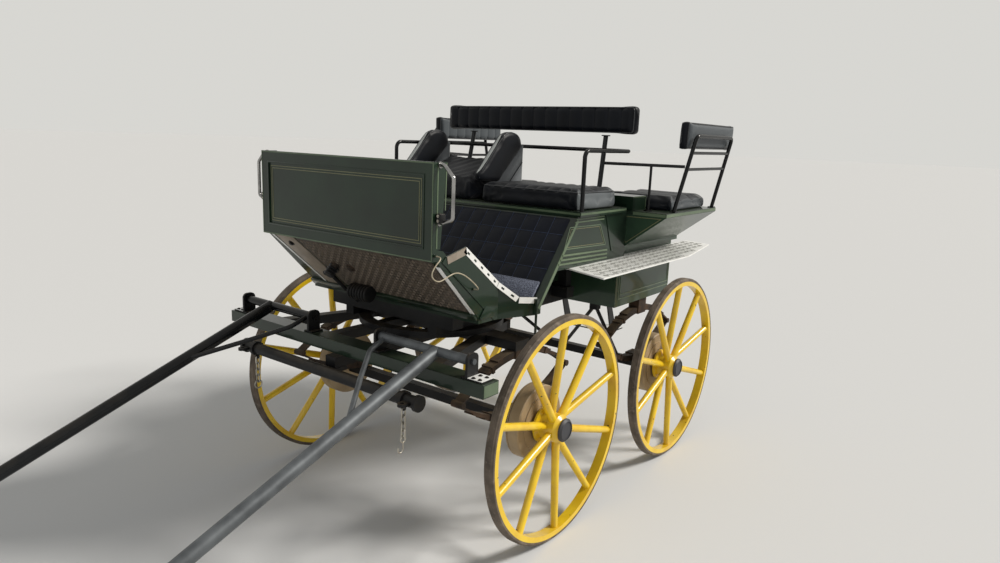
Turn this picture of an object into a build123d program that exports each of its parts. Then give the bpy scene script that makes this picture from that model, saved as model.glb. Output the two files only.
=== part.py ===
from build123d import *
import os
from math import asin, atan2, cos, degrees, pi, radians, sin, sqrt, tan

# A wagonette for one horse: four spoked wheels, a steered fore-carriage with two
# separate shafts, a driver's bench in front and two side benches behind.
# Sizes are millimetres. X points forward, Y to the carriage's left and Z up.
# The model is drawn with X = 0 at the rear axle and moved at the end, so that the
# origin is on the ground under the middle of the whole carriage.

# Wheels: steel rims and tubular spokes, with solid rubber tyres
WHEEL_DIAMETER = 900.0
TRACK = 1350.0
WHEELBASE = 1051.0
TYRE_WIDTH = 41.0
TYRE_STAND = 15.0
TYRE_SHOULDER = 7.0
RIM_WIDTH = 40.0
RIM_LIP = 4.0
RIM_WALL = 5.0
RIM_DEPTH = 21.0
SPOKE_COUNT = 10
SPOKE_HUB_RADIUS = 16.5
SPOKE_RIM_RADIUS = 14.5
SPOKE_STAGGER = 13.0
SPOKE_ROOT = 10.0
HUB_RADIUS = 56.0
HUB_FLARE_RADIUS = 74.0
HUB_FLARE_WIDTH = 9.0
HUB_END_RADIUS = 44.0
HUB_LENGTH = 96.0
HUB_OUTSET = -28.0
CAP_RADIUS = 46.0
CAP_DEPTH = 14.0
CAP_CHAMFER = 8.0
CAP_DISH = 3.0
DRUM_RADIUS = 150.0
DRUM_DEPTH = 48.0
DRUM_GAP = 16.0
DRUM_WALL = 8.0
DRUM_STEP = 4.0
SLEEVE_RADIUS = 30.0

# Axles and springs
SPINDLE_RADIUS = 17.5
BEARING_CLEARANCE = 0.05
AXLE_SIDE = 40.0
AXLE_DROP = 20.0
PLATE_GAP = 3.0
PLATE_THICKNESS = 6.0
SPRING_Y = 455.0
SPRING_HALF_LENGTH = 350.0
SPRING_HEIGHT = 278.0
SPRING_WIDTH = 44.0
LEAF_THICKNESS = 7.0
LEAF_SHARES = (1.0, 0.82, 0.62, 0.42)
SPRING_EYE_RADIUS = 13.0
SPRING_CLIP_SHARE = 0.5
CLIP_THICKNESS = 4.0
CLIP_WIDTH = 14.0
CLAMP_LENGTH = 80.0
CLAMP_SIDE = 6.0
STRUT_RADIUS = 9.0
STRUT_BRACKET_X = 250.0
STRUT_BRACKET_Y = 350.0
STRUT_BRACKET_HEIGHT = 44.0
STRUT_BRACKET_SIDE = 40.0

# Turntable and fore-carriage
TURNTABLE_RADIUS = 310.0
RING_WIDTH = 50.0
RING_THICKNESS = 12.0
RING_GAP = 0.4
KINGPIN_RADIUS = 16.0
BEAM_X = 1530.0
BEAM_HALF_LENGTH = 700.0
BEAM_WIDTH = 80.0
BEAM_HEIGHT = 47.0
BEAM_TOP = 765.0
FUTCHELL_WIDTH = 46.0
FUTCHELL_REACH = 200.0
BED_HALF_WIDTH = 45.0

# Shafts and swingletree
SHAFT_Y = 460.0
SHAFT_LENGTH = 2300.0
SHAFT_RADIUS = 24.0
SHAFT_NECK_RADIUS = 20.0
SHAFT_TIP_RADIUS = 15.0
SHAFT_TIP_LENGTH = 260.0
PIVOT_AHEAD = 5.0
PIVOT_X = BEAM_X + PIVOT_AHEAD
PIVOT_Z = 822.0
PIVOT_INNER_Y = 195.0
PIVOT_OUTER_Y = 615.0
PIVOT_RADIUS = 17.0
PIVOT_PIN_RADIUS = 10.0
PIN_OVERHANG = 8.0
PIN_CLEARANCE = 0.05
BRACE_RADIUS = 9.0
BRACE_REACH = 400.0
POST_THICKNESS = 10.0
POST_HALF_WIDTH = 28.0
POST_HEAD = 28.0
BRACKET_SIDE_GAP = 1.0
BRACKET_FOOT = 18.0
BRACKET_PAD = 62.0
BRACKET_FOOT_THICKNESS = 6.0
PAD_HOLE_RADIUS = 5.0
SWINGLETREE_HALF_LENGTH = 490.0
SWINGLETREE_RADIUS = 22.0
SWINGLETREE_AHEAD = 110.0
SWINGLETREE_X = BEAM_X + SWINGLETREE_AHEAD
SWINGLETREE_Z = 668.0
COLLAR_RISE = 7.0
SWING_PIN_RADIUS = 9.0
SWING_PIN_SETBACK = 60.0
SWING_LUG_HALF = 28.0
SWING_LUG_THICKNESS = 16.0
SWING_LUG_GAP = 2.0
TRACE_EYE_Y = 451.0
TRACE_EYE_OUT = 44.0
TRACE_EYE_RADIUS = 16.0
TRACE_EYE_THICKNESS = 10.0
TRACE_HOLE_RADIUS = 7.0

# Trace chains, one under each end of the swingletree
CHAIN_Y = 414.0
CHAIN_WIRE = 3.0
CHAIN_EYE_RADIUS = 9.0
CHAIN_EYE_WIRE = 3.5
LINK_LENGTH = 38.0
LINK_WIDTH = 22.0
LINK_GAP = 0.3
LINK_COUNT = 4
CHAIN_RING_RADIUS = 16.0
HOOK_RADIUS = 12.0
HOOK_SHANK = 22.0
HOOK_TURN = 215.0

# Front body
BODY_HALF_WIDTH = 530.0
PANEL = 18.0
FLOOR_BOTTOM = 874.0
FLOOR_THICKNESS = 22.0
FLOOR_FRONT_X = 1309.0
FLOOR_REAR_X = 1037.0
FLOOR_LAP = 30.0
TOE_HALF_WIDTH = 462.0
TOE_THICKNESS = 45.0
DASH_X = 1541.0
DASH_BOTTOM = 1131.0
DASH_TOP = 1458.0
DASH_HALF_WIDTH = 462.0
DASH_THICKNESS = 22.0
DASH_BORDER = 45.0
DASH_GROOVE = 4.0
DASH_LIP = 40.0
FLANGE_DEPTH = 42.0
FLANGE_FOOT = 16.0
FLANGE_THICKNESS = 12.0
HANDLE_RADIUS = 6.5
HANDLE_REACH = 60.0
HANDLE_SETBACK = 6.0
HANDLE_DROP = 9.0
HANDLE_HEIGHT = 174.0
HANDLE_SHOULDER = 38.0
HANDLE_SHOULDER_START = 20.0
HANDLE_TAIL = 14.0
HANDLE_BEND = 14.0
CHEEK_THICKNESS = 3.0
CHEEK_BEND_X = 1200.0
CHEEK_OUTLINE = ((1516.0, 1125.0), (1497.0, 1144.0), (1395.0, 1168.0), (1200.0, 1018.0), (1116.0, 953.0),
                 (1037.0, 945.0), (1037.0, 874.0), (1219.0, 874.0))
CHEEK_ROD_X = 1048.0
CHEEK_ROD_RADIUS = 5.0
CHEEK_ROD_LENGTH = 140.0
PEDAL_Y = -190.0
PEDAL_REACH = 0.5
BELLOWS_RIBS = 4
BELLOWS_PITCH = 12.0
BELLOWS_RADIUS = 24.0
BELLOWS_WAIST = 17.0
PEDAL_LEVER_RADIUS = 8.0
SEAT_BOARD_TOP = 1258.0
SEAT_BOARD_THICKNESS = 22.0
SEAT_BOARD_OVERHANG = 15.0
SEAT_FRONT_X = 770.0
SEAT_REAR_X = 372.0
RISER_SETBACK = 5.0
RISER_THICKNESS = 20.0
RISER_COVER = 9.0
RISER_COVER_HALF = 500.0
RISER_COVER_MARGIN = 12.0
QUILT_COLUMNS = 7
QUILT_ROWS = 5
QUILT_SEAM = 4.0
QUILT_DEPTH = 3.0
SEAT_SIDE_SETBACK = 28.0
UNDERSIDE_Z = 1030.0
UNDERSIDE_FRONT_X = 900.0
RAIL_Y = 235.0
RAIL_WIDTH = 44.0
CROSS_MEMBER_HALF = 340.0
CROSS_MEMBER_WIDTH = 60.0
CROSS_MEMBER_DEPTH = 50.0
KINGPIN_TAIL = 85.0
BODY_POST_Y = 300.0
BODY_POST_X = 446.0
TUB_FRONT_X = 336.0
TUB_REAR_X = -250.0
TUB_TOP = 1240.0
TUB_FLARE = 192.0
FLARE_Z = 1077.0
WELL_INSET = 30.0
WELL_BOTTOM = 778.0
BENCH_INNER_Y = 290.0
BENCH_THICKNESS = 18.0
LOCKER_LENGTH = 130.0
LOCKER_HEIGHT = 63.0
LOCKER_OUTER_Y = 550.0
DOOR_HALF_WIDTH = 255.0
DOOR_GAP = 5.0
HINGE_RADIUS = 7.0
HINGE_PIN_RADIUS = 4.0
HINGE_STANDOFF = 1.0
HINGE_HEIGHTS = (880.0, 1150.0)
HINGE_REACH = 30.0
HINGE_STRAP = 40.0
KNUCKLE = 30.0
KNUCKLE_GAP = 0.3
HINGE_LEAF = 3.0
DOOR_HANDLE_Y = -190.0
DOOR_HANDLE_Z = 1110.0
DOOR_HANDLE_LENGTH = 110.0
DOOR_HANDLE_RADIUS = 6.0
DOOR_HANDLE_REACH = 34.0

# Steps
STEP_THICKNESS = 6.0
STEP_LAP = 60.0
STEP_OUTREACH = 205.0
STEP_FRONT_X = 812.0
STEP_NOSE_X = 890.0
STEP_BEND_X = 71.0
STEP_TAIL_X = -407.0
STEP_TAIL_OUTREACH = 118.0
STEP_END_X = -445.0
REAR_STEP_Z = 470.0
REAR_STEP_DEPTH = 150.0
REAR_STEP_HALF = 170.0
REAR_STEP_SETBACK = 20.0
REAR_STEP_ARM_INSET = 20.0
REAR_STEP_ARM_THICKNESS = 8.0

# Seats
CUSHION_HEIGHT = 88.0
CUSHION_MARGIN = 8.0
CUSHION_SETBACK = 14.0
WEDGE_FRONT = 80.0
WEDGE_REAR = 198.0
SIDE_CUSHION_HEIGHT = 62.0
SIDE_CUSHION_FRONT_X = 188.0
SIDE_CUSHION_MARGIN = 40.0
WING_THICKNESS = 44.0
WING_INNER_Y = -52.0
WING_EDGE = 9.0
WING_GAP = 4.0
WING_FRONT = 110.0
WING_TOP = 1581.0
WING_TOP_LENGTH = 152.0
WING_TOP_RADIUS = 75.0
BACK_BAR_X = 326.0
BACK_BAR_HALF = 552.0
BACK_BAR_BOTTOM = 1573.0
BACK_BAR_TOP = 1702.0
BACK_BAR_THICKNESS = 70.0
RAIL_RADIUS = 9.0
RAIL_BEND = 30.0
ARM_OUTSET = 5.0
ARM_FRONT_X = 747.0
ARM_TOP = 1505.0
CROSS_RAIL_X = 352.0
POST_FOOT_X = 385.0
POST_FOOT_Y = 400.0
POST_TOP_Y = 390.0
POST_RADIUS = 11.0
POST_SETBACK = 2.0
FOOT_RADIUS = 20.0
FOOT_THICKNESS = 5.0
CUSHION_REAR_X = 406.0
SIDE_RAIL_Z = 1447.0
SIDE_RAIL_RADIUS = 7.0
SIDE_RAIL_GAP = 2.2
SIDE_POST_Y = 600.0
SIDE_PROP_RADIUS = 6.0
LADDER_FRONT_X = 223.0
LADDER_REAR_X = -234.0
LADDER_RAKE_FRONT = 22.0
LADDER_RAKE_REAR = 4.0
LADDER_INSET = 17.0
LADDER_SPREAD = 70.0
LADDER_TOP = 1583.0
LADDER_FOOT = 14.0
LADDER_BEND = 25.0
RUNG_DROPS = (75.0, 148.0)
RUNG_RADIUS = 7.0
BACK_PAD_DROP = 66.0
BACK_PAD_HEIGHT = 132.0
BACK_PAD_BOTTOM = LADDER_TOP - BACK_PAD_DROP
BACK_PAD_TOP = BACK_PAD_BOTTOM + BACK_PAD_HEIGHT
BACK_PAD_THICKNESS = 54.0
BACK_PAD_LEAN = 5.0
BACK_PAD_FRONT_X = 242.0
BACK_PAD_REAR_X = -330.0
SEAT_GAP = 0.3

# The loose wire from the dash to the left cheek
WIRE_RADIUS = 2.2
WIRE_STUB_RADIUS = 5.5
WIRE_ARC_SHARE = 0.45
WIRE_POINTS = ((1552.0, 470.5, 1152.0), (1552.0, 488.0, 1152.0), (1563.0, 499.0, 1145.0),
               (1590.0, 500.0, 1127.0), (1607.0, 498.0, 1100.0), (1590.0, 498.0, 1079.0),
               (1563.0, 498.0, 1071.0), (1527.0, 498.0, 1083.0), (1484.0, 498.0, 1094.0),
               (1440.0, 497.0, 1080.0), (1405.0, 499.0, 1057.0), (1376.0, 500.0, 1034.0),
               (1359.0, 497.0, 1020.0), (1350.0, 486.0, 1012.0), (1350.0, 470.5, 1012.0))

os.makedirs("parts", exist_ok=True)
NODES = {}
SIDES = (("left", 1), ("right", -1))
ENDS = (("front", WHEELBASE), ("rear", 0.0))
AXLE_Z = WHEEL_DIAMETER / 2
BOTTOM_UP = (Align.CENTER, Align.CENTER, Align.MIN)


def slab(x0, x1, y0, y1, z0, z1):
    box = Box(x1 - x0, y1 - y0, z1 - z0)
    return Pos((x0 + x1) / 2, (y0 + y1) / 2, (z0 + z1) / 2) * box


def side_face_prism(face, y0, y1):
    """A face drawn in X and Z, pushed from y0 to y1."""
    plane = Plane(origin=(0, y0, 0), x_dir=(1, 0, 0), z_dir=(0, -1, 0))
    return extrude(plane * face, amount=-(y1 - y0))


def side_prism(points, y0, y1):
    """An outline given as (x, z) points, pushed from y0 to y1."""
    return side_face_prism(make_face(Polyline(*points, close=True)), y0, y1)


def plan_prism(points, z0, z1):
    """An outline given as (x, y) points, pushed from z0 to z1."""
    face = make_face(Polyline(*points, close=True))
    return extrude(Pos(0, 0, z0) * face, amount=z1 - z0)


def front_prism(points, x0, x1):
    """An outline given as (y, z) points, pushed from x0 to x1."""
    face = make_face(Polyline(*points, close=True))
    plane = Plane(origin=(x0, 0, 0), x_dir=(0, 1, 0), z_dir=(1, 0, 0))
    return extrude(plane * face, amount=x1 - x0)


def rod(start, end, radius, end_radius=None):
    """A round bar between two points, tapered when end_radius is given."""
    start = Vector(*start)
    end = Vector(*end)
    way = end - start
    plane = Plane(origin=start, z_dir=way)
    if end_radius is None:
        return extrude(plane * Circle(radius), amount=way.length)
    return plane * Cone(radius, end_radius, way.length, align=BOTTOM_UP)


def bent_tube(points, radius, bend):
    """A tube along straight runs, joined by bends of one radius or of a list of radii."""
    path = Polyline(*points) if len(points) == 2 else FilletPolyline(*points, radius=bend)
    start = Plane(origin=path @ 0, z_dir=path % 0)
    return sweep(start * Circle(radius), path=path)


def mirror_y(shape):
    return mirror(shape, about=Plane.XZ)


def both_sides(shape):
    return shape + mirror_y(shape)


def turned_y(profile):
    """A solid turned about the Y axis from (radius, y) points."""
    face = make_face(Polyline(*[(r, y) for r, y in profile], close=True))
    return revolve(face, axis=Axis.Y)


def add(name, shape):
    NODES[name] = shape


# Wheels. Each is drawn about its own axis, with +Y pointing outboard.
HUB_INNER = HUB_OUTSET - HUB_LENGTH / 2
HUB_OUTER = HUB_OUTSET + HUB_LENGTH / 2
RIM_OUTER = WHEEL_DIAMETER / 2 - TYRE_STAND
RIM_INNER = RIM_OUTER - RIM_DEPTH
CHANNEL = RIM_INNER + RIM_WALL
BORE = SPINDLE_RADIUS + BEARING_CLEARANCE
DRUM_OUTER = HUB_INNER - DRUM_GAP
DRUM_INNER = DRUM_OUTER - DRUM_DEPTH


def spoked_wheel():
    """A flared hub barrel, tubular spokes in two rows and a channel rim."""
    neck = HUB_INNER + HUB_FLARE_WIDTH
    row = SPOKE_STAGGER + SPOKE_HUB_RADIUS
    wheel = turned_y([(SLEEVE_RADIUS, HUB_INNER), (HUB_FLARE_RADIUS, HUB_INNER), (HUB_FLARE_RADIUS, neck),
                      (HUB_RADIUS, neck + 6), (HUB_RADIUS, HUB_OUTSET + row),
                      (HUB_END_RADIUS, HUB_OUTER - 6), (HUB_END_RADIUS, HUB_OUTER), (SLEEVE_RADIUS, HUB_OUTER)])
    lip = RIM_WIDTH / 2
    channel = lip - RIM_LIP
    wheel += turned_y([(RIM_INNER, -lip), (RIM_OUTER, -lip), (RIM_OUTER, -channel), (CHANNEL, -channel),
                       (CHANNEL, channel), (RIM_OUTER, channel), (RIM_OUTER, lip), (RIM_INNER, lip)])
    for index in range(SPOKE_COUNT):
        angle = 2 * pi * (index + 0.5) / SPOKE_COUNT
        side = SPOKE_STAGGER if index % 2 else -SPOKE_STAGGER
        inner = HUB_RADIUS - SPOKE_ROOT
        outer = RIM_INNER + RIM_WALL / 2
        wheel += rod((inner * cos(angle), HUB_OUTSET + side, inner * sin(angle)),
                     (outer * cos(angle), 0, outer * sin(angle)), SPOKE_HUB_RADIUS, SPOKE_RIM_RADIUS)
    return wheel


def rubber_tyre():
    """A foot held in the rim's channel and a tread that covers the lips."""
    foot_half = RIM_WIDTH / 2 - RIM_LIP
    half = TYRE_WIDTH / 2
    outer = WHEEL_DIAMETER / 2
    return turned_y([(CHANNEL, -foot_half), (RIM_OUTER, -foot_half), (RIM_OUTER, -half),
                     (outer - TYRE_SHOULDER, -half), (outer, TYRE_SHOULDER - half),
                     (outer, half - TYRE_SHOULDER), (outer - TYRE_SHOULDER, half), (RIM_OUTER, half),
                     (RIM_OUTER, foot_half), (CHANNEL, foot_half)])


def wheel_metal():
    """The bearing sleeve, with the dust cap outboard and the stepped brake drum inboard."""
    cap_end = HUB_OUTER + CAP_DEPTH
    cap_face = CAP_RADIUS - CAP_CHAMFER
    step = (DRUM_RADIUS - SLEEVE_RADIUS) / 3
    drum_back = DRUM_OUTER - DRUM_WALL
    return turned_y([(BORE, drum_back), (DRUM_RADIUS - DRUM_WALL, drum_back),
                     (DRUM_RADIUS - DRUM_WALL, DRUM_INNER), (DRUM_RADIUS, DRUM_INNER),
                     (DRUM_RADIUS, DRUM_OUTER - DRUM_STEP), (DRUM_RADIUS - DRUM_STEP, DRUM_OUTER),
                     (DRUM_RADIUS - step, DRUM_OUTER), (DRUM_RADIUS - step, DRUM_OUTER + DRUM_STEP),
                     (SLEEVE_RADIUS + step, DRUM_OUTER + DRUM_STEP), (SLEEVE_RADIUS + step, DRUM_OUTER),
                     (SLEEVE_RADIUS, DRUM_OUTER), (SLEEVE_RADIUS, HUB_OUTER), (CAP_RADIUS, HUB_OUTER),
                     (CAP_RADIUS, cap_end - CAP_CHAMFER), (cap_face, cap_end),
                     (cap_face - CAP_DISH, cap_end), (cap_face - CAP_DISH, cap_end - CAP_DISH),
                     (0, cap_end - CAP_DISH), (0, HUB_OUTER + CAP_DISH), (BORE, HUB_OUTER + CAP_DISH)])


for end, axle_x in ENDS:
    for side, sign in SIDES:
        for piece, shape in (("wheel", spoked_wheel()), ("tyre", rubber_tyre()), ("hub", wheel_metal())):
            turned = shape if sign > 0 else mirror_y(shape)
            add(f"{piece}_{end}_{side}", Pos(axle_x, sign * TRACK / 2, AXLE_Z) * turned)

# Axles: a square beam, dropped under the spindles, with a backing plate at each end
BEAM_Z = AXLE_Z - AXLE_DROP
PLATE_Y = TRACK / 2 + DRUM_INNER - PLATE_GAP


def axle(axle_x):
    half = AXLE_SIDE / 2
    root = PLATE_Y - PLATE_THICKNESS
    beam = slab(axle_x - half, axle_x + half, -PLATE_Y, PLATE_Y, BEAM_Z - half, BEAM_Z + half)
    end = rod((axle_x, root, AXLE_Z), (axle_x, TRACK / 2 + HUB_OUTER, AXLE_Z), SPINDLE_RADIUS)
    end += rod((axle_x, root, AXLE_Z), (axle_x, PLATE_Y, AXLE_Z), DRUM_RADIUS)
    return beam + both_sides(end)


def axle_struts():
    """Two struts a side that run from a bracket under the foot well to the rear axle."""
    half = STRUT_BRACKET_SIDE / 2
    low = WELL_BOTTOM - STRUT_BRACKET_HEIGHT
    struts = slab(STRUT_BRACKET_X - half, STRUT_BRACKET_X + half, STRUT_BRACKET_Y - half,
                  STRUT_BRACKET_Y + half, low, WELL_BOTTOM)
    top = (STRUT_BRACKET_X, STRUT_BRACKET_Y, low + half)
    for foot_y in (STRUT_BRACKET_Y + half, STRUT_RADIUS * 3):
        struts += rod(top, (0, foot_y, BEAM_Z), STRUT_RADIUS)
    return both_sides(struts)


add("front_axle", axle(WHEELBASE))
add("rear_axle", axle(0.0) + axle_struts())


def leaf(radius, thickness, half_length):
    """A curved leaf, its lowest point at Z = -radius, as a face in X and Z."""
    angle = degrees(asin(half_length / radius))
    outer = CenterArc((0, 0), radius + thickness, 270 - angle, 2 * angle)
    inner = CenterArc((0, 0), radius, 270 - angle, 2 * angle)
    ends = [Line(outer @ 0, inner @ 0), Line(outer @ 1, inner @ 1)]
    return make_face([outer, inner] + ends)


def elliptic_spring(spring_x, spring_y, block_height):
    """Two leaf packs that meet in eyes, clamped to the axle and to the body."""
    stack = LEAF_THICKNESS * len(LEAF_SHARES)
    sag = SPRING_HEIGHT / 2 - stack
    radius = (SPRING_HALF_LENGTH ** 2 + sag ** 2) / (2 * sag)
    half_width = SPRING_WIDTH / 2
    lower = None
    for index, share in enumerate(LEAF_SHARES):
        face = leaf(radius + index * LEAF_THICKNESS, LEAF_THICKNESS, SPRING_HALF_LENGTH * share)
        solid = side_face_prism(Pos(0, radius - sag, 0) * face, -half_width, half_width)
        lower = solid if lower is None else lower + solid
    clip_turn = degrees(asin(SPRING_CLIP_SHARE * SPRING_HALF_LENGTH / radius))
    clip_depth = stack * 0.75
    clip = Box(CLIP_WIDTH, SPRING_WIDTH + 2 * CLIP_THICKNESS, clip_depth + 2 * CLIP_THICKNESS)
    for turn in (clip_turn, -clip_turn):
        lower += Pos(0, 0, radius - sag) * Rot(0, turn, 0) * Pos(0, 0, -radius - clip_depth / 2) * clip
    eye_side = half_width + CLIP_THICKNESS
    eye = rod((SPRING_HALF_LENGTH, -eye_side, 0), (SPRING_HALF_LENGTH, eye_side, 0), SPRING_EYE_RADIUS)
    spring = lower + mirror(lower, about=Plane.XY) + eye + mirror(eye, about=Plane.YZ)
    half = CLAMP_LENGTH / 2
    side = half_width + CLAMP_SIDE
    low = SPRING_HEIGHT / 2
    clamp = slab(-half, half, -side, side, -low, -low + stack + CLAMP_SIDE)
    spring += clamp + mirror(clamp, about=Plane.XY)
    if block_height:
        spring += slab(-half, half, -side, side, low, low + block_height)
    return Pos(spring_x, spring_y, SPRING_BOTTOM + SPRING_HEIGHT / 2) * spring


SPRING_BOTTOM = BEAM_Z + AXLE_SIDE / 2
SPRING_TOP = SPRING_BOTTOM + SPRING_HEIGHT
for side, sign in SIDES:
    add(f"rear_spring_{side}", elliptic_spring(0.0, sign * SPRING_Y, WELL_BOTTOM - SPRING_TOP))
    add(f"front_spring_{side}", elliptic_spring(WHEELBASE, sign * SPRING_Y, 0))

# Fore-carriage: a frame on the front springs, with the lower turntable ring on top
LOWER_RING_TOP = BEAM_TOP + RING_THICKNESS
UPPER_RING_BOTTOM = LOWER_RING_TOP + RING_GAP
UPPER_RING_TOP = UPPER_RING_BOTTOM + RING_THICKNESS
BEAM_BACK = BEAM_X - BEAM_WIDTH / 2
# Each pair of futchells: its Y at the splinter bar and its Y at the rear bar
FUTCHELLS = ((430.0, 235.0), (120.0, 110.0))


def ring(z0, z1):
    outer = Cylinder(TURNTABLE_RADIUS, z1 - z0, align=BOTTOM_UP)
    inner = Cylinder(TURNTABLE_RADIUS - RING_WIDTH, z1 - z0, align=BOTTOM_UP)
    return Pos(WHEELBASE, 0, z0) * (outer - inner)


def fore_frame():
    reach = SPRING_Y + SPRING_WIDTH / 2 + CLAMP_SIDE
    frame = slab(WHEELBASE - BED_HALF_WIDTH, WHEELBASE + BED_HALF_WIDTH, -reach, reach, SPRING_TOP, BEAM_TOP)
    half = FUTCHELL_WIDTH / 2
    rear_x = WHEELBASE - FUTCHELL_REACH
    for front_y, rear_y in FUTCHELLS:
        frame += both_sides(plan_prism([(BEAM_BACK, front_y - half), (BEAM_BACK, front_y + half),
                                        (rear_x, rear_y + half), (rear_x, rear_y - half)],
                                       SPRING_TOP, BEAM_TOP))
    rear_half = FUTCHELLS[0][1] + half
    frame += slab(rear_x - half, rear_x + half, -rear_half, rear_half, SPRING_TOP, BEAM_TOP)
    return frame - Pos(WHEELBASE, 0, BEAM_TOP) * Cylinder(KINGPIN_RADIUS + BEARING_CLEARANCE, RING_WIDTH * 4)


add("fore_frame", fore_frame())
add("turntable_lower_ring", ring(BEAM_TOP, LOWER_RING_TOP))
add("turntable_upper_ring", ring(UPPER_RING_BOTTOM, UPPER_RING_TOP))
add("splinter_bar", slab(BEAM_BACK, BEAM_BACK + BEAM_WIDTH, -BEAM_HALF_LENGTH, BEAM_HALF_LENGTH,
                         BEAM_TOP - BEAM_HEIGHT, BEAM_TOP))


# Brackets on the splinter bar that hold the pivot tubes of the shafts
def shaft_bracket(y0, foot_in, foot_out):
    """An upright plate at y0 on a foot that reaches foot_in and foot_out past it."""
    low_x = PIVOT_X - POST_HALF_WIDTH
    high_x = PIVOT_X + POST_HALF_WIDTH
    y1 = y0 + POST_THICKNESS
    plate = slab(low_x, high_x, y0, y1, BEAM_TOP, PIVOT_Z + POST_HEAD)
    plate = fillet(plate.edges().filter_by(Axis.Y).group_by(Axis.Z)[-1], POST_HEAD * 0.7)
    foot = slab(low_x, high_x, y0 - foot_in, y1 + foot_out, BEAM_TOP, BEAM_TOP + BRACKET_FOOT_THICKNESS)
    if foot_out == BRACKET_PAD:
        for x in (PIVOT_X - POST_HALF_WIDTH / 2, PIVOT_X + POST_HALF_WIDTH / 2):
            for share in (0.35, 0.75):
                hole = Pos(x, y1 + BRACKET_PAD * share, BEAM_TOP) * Cylinder(PAD_HOLE_RADIUS, BEAM_HEIGHT)
                foot -= hole
    pin_hole = rod((PIVOT_X, y0, PIVOT_Z), (PIVOT_X, y1, PIVOT_Z), PIVOT_PIN_RADIUS + PIN_CLEARANCE)
    return plate + foot - pin_hole


INNER_BRACKET_Y = PIVOT_INNER_Y - BRACKET_SIDE_GAP - POST_THICKNESS
OUTER_BRACKET_Y = PIVOT_OUTER_Y + BRACKET_SIDE_GAP
bracket_pair = shaft_bracket(INNER_BRACKET_Y, BRACKET_FOOT, BRACKET_FOOT)
bracket_pair += shaft_bracket(OUTER_BRACKET_Y, BRACKET_FOOT, BRACKET_PAD)
add("shaft_brackets_left", bracket_pair)
add("shaft_brackets_right", mirror_y(bracket_pair))

# Shafts: a tapered tube welded to its pivot tube, with a curved inner brace.
# At rest the tip lies on the ground.
SHAFT_DROP = PIVOT_Z - SHAFT_TIP_RADIUS
SHAFT_PITCH = asin(SHAFT_DROP / SHAFT_LENGTH)
TIP_X = PIVOT_X + SHAFT_LENGTH * cos(SHAFT_PITCH)


def along_shaft(distance, y):
    return (PIVOT_X + distance * cos(SHAFT_PITCH), y, PIVOT_Z - distance * sin(SHAFT_PITCH))


def shaft():
    pivot = rod((PIVOT_X, PIVOT_INNER_Y, PIVOT_Z), (PIVOT_X, PIVOT_OUTER_Y, PIVOT_Z), PIVOT_RADIUS)
    pin_end = POST_THICKNESS + PIN_OVERHANG
    pivot += rod((PIVOT_X, PIVOT_INNER_Y - pin_end, PIVOT_Z), (PIVOT_X, PIVOT_OUTER_Y + pin_end, PIVOT_Z),
                 PIVOT_PIN_RADIUS)
    straight = SHAFT_LENGTH - SHAFT_TIP_LENGTH
    main = rod(along_shaft(0, SHAFT_Y), along_shaft(straight, SHAFT_Y), SHAFT_RADIUS, SHAFT_NECK_RADIUS)
    tip = rod(along_shaft(straight, SHAFT_Y), along_shaft(SHAFT_LENGTH, SHAFT_Y), SHAFT_NECK_RADIUS,
              SHAFT_TIP_RADIUS)
    end = Pos(*along_shaft(SHAFT_LENGTH, SHAFT_Y)) * Sphere(SHAFT_TIP_RADIUS)
    root_y = PIVOT_INNER_Y + PIVOT_RADIUS + 5
    reach_y = SHAFT_Y - root_y
    brace = bent_tube([(PIVOT_X, root_y, PIVOT_Z), along_shaft(BRACE_REACH * 0.22, root_y + reach_y * 0.03),
                       along_shaft(BRACE_REACH * 0.55, root_y + reach_y * 0.4),
                       along_shaft(BRACE_REACH, SHAFT_Y - SHAFT_RADIUS / 2)], BRACE_RADIUS, BRACE_RADIUS * 6)
    return pivot + main + tip + end + brace


add("shaft_left", shaft())
add("shaft_right", mirror_y(shaft()))

# Swingletree: a tube that swings on a pin under the splinter bar
SWING_PIN_X = SWINGLETREE_X - SWING_PIN_SETBACK
# Collars on the tube's end: how far each starts from the end, and its length
COLLARS = ((14.0, 14.0), (80.0, 16.0))


def swingletree():
    tree = rod((SWINGLETREE_X, -SWINGLETREE_HALF_LENGTH, SWINGLETREE_Z),
               (SWINGLETREE_X, SWINGLETREE_HALF_LENGTH, SWINGLETREE_Z), SWINGLETREE_RADIUS)
    for start, length in COLLARS:
        y = SWINGLETREE_HALF_LENGTH - start
        tree += both_sides(rod((SWINGLETREE_X, y, SWINGLETREE_Z), (SWINGLETREE_X, y + length, SWINGLETREE_Z),
                               SWINGLETREE_RADIUS + COLLAR_RISE))
    half = SWING_LUG_THICKNESS / 2
    tree += slab(SWING_PIN_X - SWING_LUG_HALF, SWINGLETREE_X, -SWING_LUG_HALF, SWING_LUG_HALF,
                 SWINGLETREE_Z - half, SWINGLETREE_Z + half)
    for y in (-TRACE_EYE_Y, TRACE_EYE_Y):
        eye = Pos(SWINGLETREE_X + TRACE_EYE_OUT, y, SWINGLETREE_Z)
        neck = Box(TRACE_EYE_OUT - SWINGLETREE_RADIUS / 2, 2 * TRACE_EYE_RADIUS, TRACE_EYE_THICKNESS,
                   align=(Align.MAX, Align.CENTER, Align.CENTER))
        tree += eye * (Cylinder(TRACE_EYE_RADIUS, TRACE_EYE_THICKNESS) + neck)
        tree -= eye * Cylinder(TRACE_HOLE_RADIUS, TRACE_EYE_THICKNESS)
    pin_hole = Cylinder(SWING_PIN_RADIUS + BEARING_CLEARANCE, SWING_LUG_THICKNESS)
    return tree - Pos(SWING_PIN_X, 0, SWINGLETREE_Z) * pin_hole


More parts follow.
